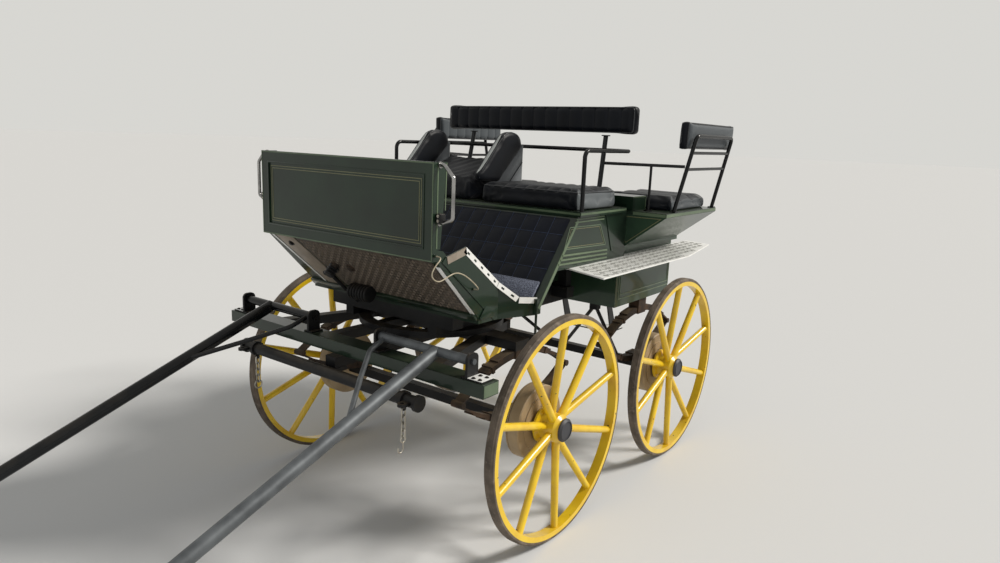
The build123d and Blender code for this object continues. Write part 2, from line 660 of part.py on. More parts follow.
def swing_mount():
    """A block under the splinter bar with the pin on which the swingletree swings."""
    top = BEAM_TOP - BEAM_HEIGHT
    low = SWINGLETREE_Z + SWING_LUG_THICKNESS / 2 + SWING_LUG_GAP
    block = slab(BEAM_BACK, SWING_PIN_X + SWING_LUG_HALF, -SWING_LUG_HALF, SWING_LUG_HALF, low, top)
    pin_low = SWINGLETREE_Z - SWING_LUG_THICKNESS
    return block + Pos(SWING_PIN_X, 0, pin_low) * Cylinder(SWING_PIN_RADIUS, top - pin_low, align=BOTTOM_UP)


add("swingletree", swingletree())
add("swingletree_pin", swing_mount())


# Trace chains: oval links, each turned a quarter from the last, a ring on the right
# and a hook on the left. The eye that holds them is part of the swingletree.
CHAIN_EYE_Z = SWINGLETREE_Z - SWINGLETREE_RADIUS - CHAIN_EYE_RADIUS
CHAIN_TOP = CHAIN_EYE_Z - CHAIN_EYE_RADIUS + CHAIN_EYE_WIRE + CHAIN_WIRE + LINK_GAP


def standing_ring(radius, wire):
    """A ring that hangs in the XZ plane, its highest wire centre at the origin."""
    return Pos(0, 0, -radius) * Rot(90, 0, 0) * Torus(radius, wire)


def oval_link():
    """A link that hangs in the XZ plane, its highest wire centre at the origin."""
    bend = LINK_WIDTH / 2 - CHAIN_WIRE
    half = (LINK_LENGTH - LINK_WIDTH) / 2
    arc = Rot(90, 0, 0) * revolve(Pos(bend, 0) * (Plane.XZ * Circle(CHAIN_WIRE)), axis=Axis.Z,
                                  revolution_arc=180)
    leg = rod((bend, 0, -half), (bend, 0, half), CHAIN_WIRE)
    link = Pos(0, 0, half) * arc + Pos(0, 0, -half) * Rot(0, 180, 0) * arc + leg + mirror(leg, about=Plane.YZ)
    return Pos(0, 0, -half - bend) * link


def chain_hook():
    """A ring, a shank and a hook, hung from the ring's highest wire centre."""
    ring_radius = CHAIN_RING_RADIUS / 2 + CHAIN_WIRE
    top = -2 * ring_radius
    shank_end = top - HOOK_SHANK
    curve = revolve(Pos(HOOK_RADIUS, 0) * (Plane.XZ * Circle(CHAIN_WIRE)), axis=Axis.Z, revolution_arc=HOOK_TURN)
    curve = Rot(0, 0, 180) * Rot(-90, 0, 0) * curve
    return (standing_ring(ring_radius, CHAIN_WIRE) + rod((0, 0, top), (0, 0, shank_end), CHAIN_WIRE)
            + Pos(HOOK_RADIUS, 0, shank_end) * curve)


def trace_chain(end_piece):
    pitch = LINK_LENGTH - 4 * CHAIN_WIRE - LINK_GAP
    solids = [Pos(0, 0, -index * pitch) * Rot(0, 0, 90 * (index % 2)) * oval_link() for index in range(LINK_COUNT)]
    solids.append(Pos(0, 0, -LINK_COUNT * pitch) * Rot(0, 0, 90 * (LINK_COUNT % 2)) * end_piece)
    return solids


chains = [Pos(SWINGLETREE_X, CHAIN_Y, CHAIN_TOP) * solid for solid in trace_chain(chain_hook())]
chains += [Pos(SWINGLETREE_X, -CHAIN_Y, CHAIN_TOP) * solid
           for solid in trace_chain(standing_ring(CHAIN_RING_RADIUS, CHAIN_WIRE))]
chain_eyes = both_sides(Pos(SWINGLETREE_X, CHAIN_Y, CHAIN_EYE_Z) * Rot(0, 90, 0)
                        * Torus(CHAIN_EYE_RADIUS, CHAIN_EYE_WIRE))
NODES["swingletree"] += chain_eyes
add("trace_chains", Compound([solid for chain in chains for solid in chain.solids()]))

# Chassis frame: rails under the body from the upper ring back to the foot well
TOE_ANGLE = atan2(DASH_BOTTOM - FLOOR_BOTTOM - FLOOR_THICKNESS, DASH_X - FLOOR_FRONT_X)
FLOOR_TOP = FLOOR_BOTTOM + FLOOR_THICKNESS


def pedal_bellows():
    """A ribbed boot under the toe board and the lever from it to the front cross member."""
    foot_x = FLOOR_FRONT_X + PEDAL_REACH * (DASH_X - FLOOR_FRONT_X)
    foot_z = FLOOR_TOP + PEDAL_REACH * (DASH_BOTTOM - FLOOR_TOP)
    down = Plane(origin=(foot_x, PEDAL_Y, foot_z), z_dir=(sin(TOE_ANGLE), 0, -cos(TOE_ANGLE)))
    outline = [(0, SEAT_GAP)]
    for rib in range(BELLOWS_RIBS):
        start = SEAT_GAP + rib * BELLOWS_PITCH
        outline += [(BELLOWS_WAIST, start), (BELLOWS_RADIUS, start + BELLOWS_PITCH / 2)]
    end = SEAT_GAP + BELLOWS_RIBS * BELLOWS_PITCH
    outline += [(BELLOWS_WAIST, end), (0, end)]
    boot = down * Rot(90, 0, 0) * turned_y(outline)
    tail = down.from_local_coords((0, 0, end - BELLOWS_PITCH))
    lever = rod((tail.X, PEDAL_Y, tail.Z),
                (FLOOR_FRONT_X - RAIL_WIDTH / 2, PEDAL_Y, FLOOR_BOTTOM - CROSS_MEMBER_DEPTH * 0.8), PEDAL_LEVER_RADIUS)
    return boot + lever


def chassis_frame():
    half = RAIL_WIDTH / 2
    rail = slab(TUB_FRONT_X, FLOOR_FRONT_X, RAIL_Y - half, RAIL_Y + half, UPPER_RING_TOP, FLOOR_BOTTOM)
    post = slab(BODY_POST_X, BODY_POST_X + RAIL_WIDTH, BODY_POST_Y - half, BODY_POST_Y + half,
                FLOOR_BOTTOM, UNDERSIDE_Z)
    frame = both_sides(rail + post)
    for x in (FLOOR_FRONT_X - CROSS_MEMBER_WIDTH, WHEELBASE - CROSS_MEMBER_WIDTH / 2, BODY_POST_X):
        frame += slab(x, x + CROSS_MEMBER_WIDTH, -CROSS_MEMBER_HALF, CROSS_MEMBER_HALF,
                      FLOOR_BOTTOM - CROSS_MEMBER_DEPTH, FLOOR_BOTTOM)
    frame += slab(WHEELBASE - CROSS_MEMBER_WIDTH, WHEELBASE + CROSS_MEMBER_WIDTH, -RAIL_Y, RAIL_Y,
                  UPPER_RING_TOP, UPPER_RING_TOP + CROSS_MEMBER_DEPTH / 2)
    pin = Cylinder(KINGPIN_RADIUS, KINGPIN_TAIL + RING_THICKNESS * 2, align=(Align.CENTER, Align.CENTER, Align.MAX))
    frame += Pos(WHEELBASE, 0, UPPER_RING_TOP + RING_THICKNESS) * pin
    return frame + pedal_bellows()


add("chassis_frame", chassis_frame())

# Front body: floor, toe board, cheeks, dash and seat box
FLOOR_OUTLINE = [(FLOOR_REAR_X - FLOOR_LAP, BODY_HALF_WIDTH), (FLOOR_REAR_X, BODY_HALF_WIDTH),
                 (CHEEK_BEND_X, TOE_HALF_WIDTH), (FLOOR_FRONT_X, TOE_HALF_WIDTH)]
add("floor_board", plan_prism(FLOOR_OUTLINE + [(x, -y) for x, y in reversed(FLOOR_OUTLINE)], FLOOR_BOTTOM, FLOOR_TOP))

toe_front = (DASH_X, DASH_BOTTOM)
toe_back = (FLOOR_FRONT_X, FLOOR_TOP)
toe_shift = (-TOE_THICKNESS * sin(TOE_ANGLE), TOE_THICKNESS * cos(TOE_ANGLE))
add("toe_board", side_prism([toe_back, toe_front, (DASH_X, DASH_BOTTOM + DASH_LIP),
                             (toe_front[0] + toe_shift[0], toe_front[1] + toe_shift[1]),
                             (toe_back[0] + toe_shift[0], toe_back[1] + toe_shift[1]),
                             (toe_back[0] + toe_shift[0], toe_back[1])], -TOE_HALF_WIDTH, TOE_HALF_WIDTH))


def toe_cheek(stub):
    """A bent sheet beside the toe board, cut to its outline, with a hanging rod at its rear."""
    inner = [(x, y + SEAT_GAP) for x, y in FLOOR_OUTLINE[1:3]]
    inner.append((DASH_X, TOE_HALF_WIDTH + SEAT_GAP))
    outer = [(x, y + CHEEK_THICKNESS) for x, y in reversed(inner)]
    sheet = plan_prism(inner + outer, FLOOR_BOTTOM, CHEEK_OUTLINE[2][1])
    sheet &= side_prism(CHEEK_OUTLINE, TOE_HALF_WIDTH, BODY_HALF_WIDTH + RAIL_WIDTH)
    rod_y = BODY_HALF_WIDTH + CHEEK_THICKNESS + CHEEK_ROD_RADIUS
    top = CHEEK_OUTLINE[5][1] - CHEEK_ROD_RADIUS
    block = slab(FLOOR_REAR_X, CHEEK_ROD_X + CHEEK_ROD_RADIUS, BODY_HALF_WIDTH - CHEEK_ROD_RADIUS + SEAT_GAP,
                 rod_y + CHEEK_ROD_RADIUS, top - BRACKET_FOOT, top)
    block -= plan_prism([(FLOOR_REAR_X, TOE_HALF_WIDTH)] + inner[:2], FLOOR_BOTTOM, top)
    cheek = sheet + block + rod((CHEEK_ROD_X, rod_y, top), (CHEEK_ROD_X, rod_y, top - CHEEK_ROD_LENGTH),
                                CHEEK_ROD_RADIUS)
    if stub:
        x, y, z = WIRE_POINTS[-1]
        cheek += rod((x, TOE_HALF_WIDTH + SEAT_GAP, z), (x, y, z), WIRE_STUB_RADIUS)
    return cheek


add("toe_cheek_left", toe_cheek(True))
add("toe_cheek_right", mirror_y(toe_cheek(False)))


def dash():
    """A sunk panel with side flanges turned back, and a stub on the left for a loose wire."""
    x0 = DASH_X + SEAT_GAP
    x1 = x0 + DASH_THICKNESS
    panel = slab(x0, x1, -DASH_HALF_WIDTH, DASH_HALF_WIDTH, DASH_BOTTOM, DASH_TOP)
    inner = DASH_HALF_WIDTH - DASH_BORDER
    panel -= slab(x1 - DASH_GROOVE, x1, -inner, inner, DASH_BOTTOM + DASH_BORDER, DASH_TOP - DASH_BORDER)
    flange = side_prism([(x0, DASH_BOTTOM + DASH_LIP), (x0, DASH_TOP), (x0 - FLANGE_DEPTH, DASH_TOP),
                         (x0 - FLANGE_FOOT, DASH_BOTTOM + DASH_LIP + SEAT_GAP)],
                        DASH_HALF_WIDTH - FLANGE_THICKNESS, DASH_HALF_WIDTH)
    flange &= slab(x0 - FLANGE_DEPTH, x0, 0, BODY_HALF_WIDTH, DASH_BOTTOM + DASH_LIP + SEAT_GAP, DASH_TOP)
    x, y, z = WIRE_POINTS[0]
    return panel + both_sides(flange) + rod((x, TOE_HALF_WIDTH - SEAT_GAP, z), (x, y, z), WIRE_STUB_RADIUS)


add("dash_board", dash())


def dash_handle():
    """A grab tube on the dash's side that leaves its top corner aslant, on two round feet."""
    x = DASH_X - HANDLE_SETBACK
    near = DASH_HALF_WIDTH
    far = near + HANDLE_REACH
    high = DASH_TOP - HANDLE_DROP
    low = high - HANDLE_HEIGHT
    foot_z = low - HANDLE_TAIL
    handle = bent_tube([(x, near, high), (x, near + HANDLE_SHOULDER_START, high), (x, far, high - HANDLE_SHOULDER),
                        (x, far, low), (x, near + HANDLE_SHOULDER_START, foot_z), (x, near, foot_z)],
                       HANDLE_RADIUS, HANDLE_BEND)
    for z in (high, foot_z):
        handle += rod((x, near, z), (x, near + FOOT_THICKNESS, z), HANDLE_RADIUS * 1.7)
    return handle


add("dash_handles", Compound(both_sides(dash_handle()).solids()))

RISER_TOP = (SEAT_FRONT_X - RISER_SETBACK, SEAT_BOARD_TOP - SEAT_BOARD_THICKNESS)
RISER_BOTTOM = (FLOOR_REAR_X, FLOOR_TOP)


def seat_box():
    """The box under the driver's bench: two sides, riser board, back and bottom."""
    roof = RISER_TOP[1]
    half = BODY_HALF_WIDTH
    outline = [RISER_BOTTOM, RISER_TOP, (TUB_FRONT_X, roof), (TUB_FRONT_X, UNDERSIDE_Z),
               (UNDERSIDE_FRONT_X, UNDERSIDE_Z), (FLOOR_REAR_X - SEAT_SIDE_SETBACK, FLOOR_TOP)]
    box = both_sides(side_prism(outline, half - PANEL, half))
    box += side_prism([RISER_BOTTOM, RISER_TOP, (RISER_TOP[0] - RISER_THICKNESS, RISER_TOP[1]),
                       (RISER_BOTTOM[0] - RISER_THICKNESS, RISER_BOTTOM[1])], -half, half)
    box += slab(TUB_FRONT_X, UNDERSIDE_FRONT_X, -half, half, UNDERSIDE_Z, UNDERSIDE_Z + PANEL)
    return box + slab(TUB_FRONT_X, TUB_FRONT_X + PANEL, -half, half, UNDERSIDE_Z, roof)


def riser_panel():
    """A quilted panel on the riser board, its squares parted by shallow seams."""
    run = RISER_BOTTOM[0] - RISER_TOP[0]
    rise = RISER_TOP[1] - RISER_BOTTOM[1]
    length = sqrt(run ** 2 + rise ** 2) - 2 * RISER_COVER_MARGIN
    plane = Plane(origin=(RISER_BOTTOM[0], 0, RISER_BOTTOM[1]), x_dir=(0, 1, 0), z_dir=(rise, 0, run))
    low = SEAT_GAP
    panel = slab(-RISER_COVER_HALF, RISER_COVER_HALF, RISER_COVER_MARGIN, RISER_COVER_MARGIN + length,
                 low, low + RISER_COVER)
    seam = QUILT_SEAM / 2
    top = low + RISER_COVER
    for column in range(1, QUILT_COLUMNS):
        y = RISER_COVER_HALF * (2 * column / QUILT_COLUMNS - 1)
        panel -= slab(y - seam, y + seam, RISER_COVER_MARGIN, RISER_COVER_MARGIN + length, top - QUILT_DEPTH, top)
    for row in range(1, QUILT_ROWS):
        v = RISER_COVER_MARGIN + length * row / QUILT_ROWS
        panel -= slab(-RISER_COVER_HALF, RISER_COVER_HALF, v - seam, v + seam, top - QUILT_DEPTH, top)
    return plane * panel


add("seat_box", seat_box())
add("riser_panel", riser_panel())
add("seat_board", slab(SEAT_REAR_X, SEAT_FRONT_X, -BODY_HALF_WIDTH - SEAT_BOARD_OVERHANG,
                       BODY_HALF_WIDTH + SEAT_BOARD_OVERHANG, RISER_TOP[1], SEAT_BOARD_TOP))

# Rear compartment: a foot well with flared sides above it, open at the top and at the door
WELL_HALF_WIDTH = BODY_HALF_WIDTH - WELL_INSET
TUB_HALF_WIDTH = BODY_HALF_WIDTH + TUB_FLARE
TUB_FRONT = TUB_FRONT_X - SEAT_GAP
BENCH_BOTTOM = TUB_TOP - BENCH_THICKNESS


def rear_tub():
    half = WELL_HALF_WIDTH
    tub = slab(TUB_REAR_X, TUB_FRONT, -half, half, WELL_BOTTOM, WELL_BOTTOM + PANEL)
    tub += slab(TUB_FRONT - PANEL, TUB_FRONT, -half, half, WELL_BOTTOM, BENCH_BOTTOM)
    rear = slab(TUB_REAR_X, TUB_REAR_X + PANEL, -half, half, WELL_BOTTOM, BENCH_BOTTOM)
    rear -= slab(TUB_REAR_X, TUB_REAR_X + PANEL, -DOOR_HALF_WIDTH, DOOR_HALF_WIDTH, WELL_BOTTOM + PANEL, BENCH_BOTTOM)
    tub += rear
    ledge = FLARE_Z + STEP_THICKNESS
    side = [(half, WELL_BOTTOM), (half, FLARE_Z - PANEL), (BODY_HALF_WIDTH, FLARE_Z - PANEL), (BODY_HALF_WIDTH, FLARE_Z),
            (TUB_HALF_WIDTH, BENCH_BOTTOM), (TUB_HALF_WIDTH - PANEL * 1.5, BENCH_BOTTOM),
            (BODY_HALF_WIDTH - PANEL, ledge), (half - PANEL, ledge), (half - PANEL, WELL_BOTTOM)]
    tub += both_sides(front_prism(side, TUB_REAR_X, TUB_FRONT))
    gusset = [(half - PANEL, FLARE_Z), (BODY_HALF_WIDTH, FLARE_Z), (TUB_HALF_WIDTH, BENCH_BOTTOM),
              (half - PANEL, BENCH_BOTTOM)]
    for x in (TUB_REAR_X, TUB_FRONT - PANEL):
        tub += both_sides(front_prism(gusset, x, x + PANEL))
    return tub


def side_bench():
    """The bench board with a low locker at its front end."""
    bench = slab(TUB_REAR_X, TUB_FRONT, BENCH_INNER_Y, TUB_HALF_WIDTH, BENCH_BOTTOM, TUB_TOP)
    locker_end = SIDE_CUSHION_FRONT_X + DOOR_GAP
    return bench + slab(locker_end, locker_end + LOCKER_LENGTH, BENCH_INNER_Y, LOCKER_OUTER_Y, TUB_TOP,
                        TUB_TOP + LOCKER_HEIGHT)


add("rear_tub", rear_tub())
add("side_bench_left", side_bench())
add("side_bench_right", mirror_y(side_bench()))

# Rear door, hung on two hinges at its left edge
HINGE_X = TUB_REAR_X - HINGE_RADIUS - HINGE_STANDOFF
HINGE_Y = DOOR_HALF_WIDTH - DOOR_GAP / 2
DOOR_FACE = HINGE_RADIUS + HINGE_STANDOFF


def door_knuckle():
    """The moving half of a hinge, drawn about its pin."""
    knuckle = Cylinder(HINGE_RADIUS, KNUCKLE)
    knuckle += slab(0, DOOR_FACE, -HINGE_REACH, 0, -KNUCKLE / 2, KNUCKLE / 2)
    knuckle -= slab(0, DOOR_FACE - HINGE_LEAF, -HINGE_REACH, -HINGE_RADIUS, -KNUCKLE / 2, KNUCKLE / 2)
    return knuckle - Cylinder(HINGE_PIN_RADIUS + BEARING_CLEARANCE, KNUCKLE)


def fixed_hinge():
    """The half of a hinge that is screwed to the body, with its pin."""
    hinge = Cylinder(HINGE_PIN_RADIUS, KNUCKLE * 2)
    z0 = KNUCKLE / 2 + KNUCKLE_GAP
    half = Pos(0, 0, z0) * Cylinder(HINGE_RADIUS, KNUCKLE - z0, align=BOTTOM_UP)
    half += slab(DOOR_FACE - HINGE_LEAF, DOOR_FACE, 0, HINGE_STRAP, z0, KNUCKLE)
    half += slab(0, HINGE_RADIUS, 0, HINGE_RADIUS, z0, KNUCKLE)
    return hinge + half + mirror(half, about=Plane.XY)


def door_handle():
    """A bent bar that stands off the door's outer face."""
    x = TUB_REAR_X - DOOR_HANDLE_REACH
    low = DOOR_HANDLE_Z - DOOR_HANDLE_LENGTH
    return bent_tube([(TUB_REAR_X, DOOR_HANDLE_Y, DOOR_HANDLE_Z), (x, DOOR_HANDLE_Y, DOOR_HANDLE_Z),
                      (x, DOOR_HANDLE_Y, low), (TUB_REAR_X, DOOR_HANDLE_Y, low)],
                     DOOR_HANDLE_RADIUS, DOOR_HANDLE_RADIUS * 2)


door = slab(TUB_REAR_X, TUB_REAR_X + PANEL, -DOOR_HALF_WIDTH + DOOR_GAP, DOOR_HALF_WIDTH - DOOR_GAP,
            WELL_BOTTOM + PANEL + DOOR_GAP, TUB_TOP) + door_handle()
hinges = None
for z in HINGE_HEIGHTS:
    place = Pos(HINGE_X, HINGE_Y, z)
    door += place * door_knuckle()
    hinges = place * fixed_hinge() if hinges is None else hinges + place * fixed_hinge()
add("rear_door", door)
add("door_hinges", hinges)


# Steps: one behind the door under the foot well, and one each side over the wheels
def rear_step():
    back = TUB_REAR_X - REAR_STEP_SETBACK
    front = back - REAR_STEP_DEPTH
    step = slab(front, back, -REAR_STEP_HALF, REAR_STEP_HALF, REAR_STEP_Z, REAR_STEP_Z + STEP_THICKNESS)
    arm_y = REAR_STEP_HALF - REAR_STEP_ARM_INSET
    half = REAR_STEP_ARM_THICKNESS / 2
    arm = side_prism([(front + REAR_STEP_DEPTH / 3, REAR_STEP_Z), (back - REAR_STEP_DEPTH / 4, REAR_STEP_Z),
                      (TUB_REAR_X + RING_WIDTH, WELL_BOTTOM), (TUB_REAR_X + PANEL, WELL_BOTTOM)],
                     arm_y - half, arm_y + half)
    return step + both_sides(arm)


def side_step():
    """Lapped under the seat box in front, cut round the foot well behind."""
    lap = BODY_HALF_WIDTH - STEP_LAP
    beside_well = WELL_HALF_WIDTH + SEAT_GAP
    outer = BODY_HALF_WIDTH + STEP_OUTREACH
    notch = TUB_FRONT_X + HINGE_STANDOFF
    return plan_prism([(STEP_FRONT_X, lap), (STEP_FRONT_X, BODY_HALF_WIDTH), (STEP_NOSE_X, outer), (STEP_BEND_X, outer),
                       (STEP_TAIL_X, BODY_HALF_WIDTH + STEP_TAIL_OUTREACH), (STEP_END_X, beside_well),
                       (notch, beside_well), (notch, lap)], UNDERSIDE_Z - STEP_THICKNESS, UNDERSIDE_Z)


add("rear_step", rear_step())
add("side_step_left", side_step())
add("side_step_right", mirror_y(side_step()))

# Cushions and the padded back bar
CUSHION_BOTTOM = SEAT_BOARD_TOP + SEAT_GAP
CUSHION_FRONT_X = SEAT_FRONT_X - CUSHION_SETBACK
WING_OUTER_Y = -(BODY_HALF_WIDTH - WING_EDGE)
add("bench_cushion", slab(CUSHION_REAR_X, CUSHION_FRONT_X, WING_INNER_Y + WING_THICKNESS + WING_GAP,
                          BODY_HALF_WIDTH - CUSHION_MARGIN, CUSHION_BOTTOM, CUSHION_BOTTOM + CUSHION_HEIGHT))
add("driver_cushion", side_prism([(CUSHION_REAR_X, CUSHION_BOTTOM), (CUSHION_FRONT_X, CUSHION_BOTTOM),
                                  (CUSHION_FRONT_X, CUSHION_BOTTOM + WEDGE_FRONT),
                                  (CUSHION_REAR_X, CUSHION_BOTTOM + WEDGE_REAR)],
                                 WING_OUTER_Y + WING_THICKNESS + WING_GAP, WING_INNER_Y - WING_GAP))


def seat_wing(y0):
    """A side wing of the driver's place, upright behind and sloped in front, with a round top."""
    top_front = CUSHION_REAR_X + WING_TOP_LENGTH
    face = make_face(Polyline((CUSHION_REAR_X, CUSHION_BOTTOM), (CUSHION_FRONT_X, CUSHION_BOTTOM),
                              (CUSHION_FRONT_X, CUSHION_BOTTOM + WING_FRONT), (top_front, WING_TOP),
                              (CUSHION_REAR_X, WING_TOP), close=True))
    face = fillet(face.vertices().group_by(Axis.Y)[-1], WING_TOP_RADIUS)
    return side_face_prism(face, y0, y0 + WING_THICKNESS)


add("seat_wing_inner", seat_wing(WING_INNER_Y))
add("seat_wing_outer", seat_wing(WING_OUTER_Y))

side_cushion = slab(TUB_REAR_X + CUSHION_SETBACK, SIDE_CUSHION_FRONT_X, BENCH_INNER_Y + DOOR_GAP,
                    TUB_HALF_WIDTH - SIDE_CUSHION_MARGIN, TUB_TOP + SEAT_GAP, TUB_TOP + SEAT_GAP + SIDE_CUSHION_HEIGHT)
add("side_cushion_left", side_cushion)
add("side_cushion_right", mirror_y(side_cushion))
add("back_bar", slab(BACK_BAR_X - BACK_BAR_THICKNESS / 2, BACK_BAR_X + BACK_BAR_THICKNESS / 2, -BACK_BAR_HALF,
                     BACK_BAR_HALF, BACK_BAR_BOTTOM, BACK_BAR_TOP))

# Rails: the back rests of the side benches, and the arms and posts of the driver's bench
LADDER_FOOT_Y = TUB_HALF_WIDTH - LADDER_INSET
LADDER_TOP_Y = LADDER_FOOT_Y + LADDER_SPREAD
LADDER_RISE = LADDER_TOP - TUB_TOP


def ladder_at(z, x, rake):
    """The point at height z of a ladder leg whose foot is at x."""
    share = (z - TUB_TOP) / LADDER_RISE
    return (x - rake * share, LADDER_FOOT_Y + LADDER_SPREAD * share, z)


def back_rest():
    ends = ((LADDER_FRONT_X, LADDER_RAKE_FRONT), (LADDER_REAR_X, LADDER_RAKE_REAR))
    heights = ((TUB_TOP + POST_SETBACK, LADDER_TOP), (LADDER_TOP, TUB_TOP + POST_SETBACK))
    path = [ladder_at(z, x, rake) for (x, rake), pair in zip(ends, heights) for z in pair]
    ladder = bent_tube(path, RAIL_RADIUS, LADDER_BEND)
    for x, rake in ends:
        ladder += slab(x - LADDER_FOOT, x + LADDER_FOOT, LADDER_FOOT_Y - LADDER_FOOT, LADDER_FOOT_Y + LADDER_FOOT,
                       TUB_TOP, TUB_TOP + FOOT_THICKNESS)
    for drop in RUNG_DROPS:
        z = LADDER_TOP - drop
        ladder += rod(ladder_at(z, *ends[0]), ladder_at(z, *ends[1]), RUNG_RADIUS)
    return ladder


def back_pad():
    """A nearly upright pad whose foot rests on the ladder's legs."""
    lean = LADDER_SPREAD / LADDER_RISE
    standoff = RAIL_RADIUS * sqrt(1 + lean ** 2) + SEAT_GAP
    low = LADDER_FOOT_Y + (BACK_PAD_BOTTOM - TUB_TOP) * lean - standoff
    high = low + BACK_PAD_LEAN
    return front_prism([(low - BACK_PAD_THICKNESS, BACK_PAD_BOTTOM), (low, BACK_PAD_BOTTOM), (high, BACK_PAD_TOP),
                        (high - BACK_PAD_THICKNESS, BACK_PAD_TOP)], BACK_PAD_REAR_X, BACK_PAD_FRONT_X)


for side, sign in SIDES:
    for piece, shape in (("back_rest", back_rest()), ("back_pad", back_pad())):
        add(f"{piece}_{side}", shape if sign > 0 else mirror_y(shape))


def foot(x, y, z):
    """A round flange under a rail's end."""
    return rod((x, y, z), (x, y, z + FOOT_THICKNESS), FOOT_RADIUS)


def bench_rails():
    """Arm rails that meet behind the bench, the posts of the back bar, and the side rails."""
    board = SEAT_BOARD_TOP
    arm_y = BODY_HALF_WIDTH + ARM_OUTSET
    corners = [(ARM_FRONT_X, arm_y, board), (ARM_FRONT_X, arm_y, ARM_TOP), (CROSS_RAIL_X, arm_y, ARM_TOP)]
    rails = bent_tube(corners + [(x, -y, z) for x, y, z in reversed(corners)], RAIL_RADIUS, RAIL_BEND)
    top = BACK_BAR_BOTTOM - FOOT_THICKNESS
    post_foot = (POST_FOOT_X, POST_FOOT_Y, board + POST_SETBACK)
    post = rod(post_foot, (BACK_BAR_X, POST_TOP_Y, top + 1), POST_RADIUS)
    post += foot(POST_FOOT_X, POST_FOOT_Y, board) + foot(BACK_BAR_X, POST_TOP_Y, top)
    share = (SIDE_RAIL_Z - board) / (BACK_BAR_BOTTOM - board)
    start = Vector(POST_FOOT_X + (BACK_BAR_X - POST_FOOT_X) * share, POST_FOOT_Y + (POST_TOP_Y - POST_FOOT_Y) * share,
                   SIDE_RAIL_Z)
    end = Vector(*ladder_at(SIDE_RAIL_Z, LADDER_FRONT_X, LADDER_RAKE_FRONT))
    way = (end - start).normalized()
    side = rod(start, end - way * (RAIL_RADIUS + SIDE_RAIL_GAP), SIDE_RAIL_RADIUS)
    prop = start + way * ((SIDE_POST_Y - start.Y) / way.Y)
    side += rod((prop.X, prop.Y, TUB_TOP), (prop.X, prop.Y, SIDE_RAIL_Z), SIDE_PROP_RADIUS)
    side += foot(prop.X, prop.Y, TUB_TOP)
    return rails + both_sides(post + side)


add("bench_rails", bench_rails())

# The loose wire: straight runs joined by arcs, between the stubs on the dash and the cheek
wire_runs = [(Vector(*b) - Vector(*a)) for a, b in zip(WIRE_POINTS, WIRE_POINTS[1:])]
wire_bends = []
for before, after in zip(wire_runs, wire_runs[1:]):
    half_turn = radians(before.get_angle(after)) / 2
    wire_bends.append(WIRE_ARC_SHARE * min(before.length, after.length) / tan(half_turn))
print("wire bend radii", [round(bend, 1) for bend in wire_bends])
add("cable_wire", bent_tube(WIRE_POINTS, WIRE_RADIUS, wire_bends))

# Origin on the ground under the middle, from the rear tyres to the shaft tips
MIDDLE_X = (TIP_X + SHAFT_TIP_RADIUS - WHEEL_DIAMETER / 2) / 2
for name, shape in NODES.items():
    export_step(Pos(-MIDDLE_X, 0, 0) * shape, f"parts/{name}.step")
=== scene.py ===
# %% [markdown]
# A wagonette is an open carriage with a driver's bench in front and two benches behind
# that face each other. The construction comes finished, as solids at their real size.
# These cells give it its camera, its paint and leather, its cushions and its fine trim.

# %% Load the construction
from math import cos, pi, radians, sin
import bpy
from mathutils import Matrix, Vector


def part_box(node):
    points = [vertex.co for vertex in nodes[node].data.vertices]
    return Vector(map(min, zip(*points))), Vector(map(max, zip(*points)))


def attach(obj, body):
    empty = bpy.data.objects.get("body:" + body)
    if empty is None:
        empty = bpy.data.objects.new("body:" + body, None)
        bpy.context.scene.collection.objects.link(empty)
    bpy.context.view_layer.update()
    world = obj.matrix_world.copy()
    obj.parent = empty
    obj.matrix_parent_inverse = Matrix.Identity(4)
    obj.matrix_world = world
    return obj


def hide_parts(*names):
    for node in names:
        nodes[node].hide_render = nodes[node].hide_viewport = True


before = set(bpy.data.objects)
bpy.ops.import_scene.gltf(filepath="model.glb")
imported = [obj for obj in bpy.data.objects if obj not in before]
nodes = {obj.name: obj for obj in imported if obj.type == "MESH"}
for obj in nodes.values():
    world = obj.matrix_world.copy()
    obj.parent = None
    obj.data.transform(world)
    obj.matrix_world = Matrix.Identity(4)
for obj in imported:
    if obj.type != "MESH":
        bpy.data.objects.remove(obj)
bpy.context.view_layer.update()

print("construction nodes", len(nodes))

# %% [markdown]
# The whole carriage was drawn with its rear axle at X = 0 and then moved so that its
# middle is at the origin. Reading the axle's place from a wheel gives back the first
# frame, in which every place is easy to measure.

# %% Places measured from the rear axle
MM = 0.001


def extent(node):
    """The low and the high corner of a solid's box."""
    return [Vector(corner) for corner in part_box(node)]


def at(x, y, z):
    """A point x metres ahead of the rear axle, y to the left and z above the ground."""
    return Vector((AXLE_X + x, y, z))


def rectangle(a0, a1, b0, b1):
    """Its corners in order, as pairs of two coordinates."""
    return [(a0, b0), (a1, b0), (a1, b1), (a0, b1)]


wheel_low, wheel_high = extent("wheel_rear_left")
AXLE_X = ((wheel_low + wheel_high) / 2).x
print("rear axle at", round(AXLE_X, 4))

# %% [markdown]
# The camera stands in front of the left shaft, a little above the dash, and looks back
# and down. Its place and angles were solved from the wheels' ellipses, and the focal
# length from how fast the shafts converge. A wide lens close by gives the tall front
# wheel and the small rear one.

# %% Camera
CAMERA_PLACE = at(3.279, 2.031, 1.543)
CAMERA_YAW = -2.498
CAMERA_DOWN = 0.1987
CAMERA_ROLL = 0.0392
FOCAL_SHARE = 0.71434
SENSOR = 36.0


def placed(name, data):
    """A new object that carries this data, linked into the scene."""
    obj = bpy.data.objects.new(name, data)
    bpy.context.collection.objects.link(obj)
    return obj


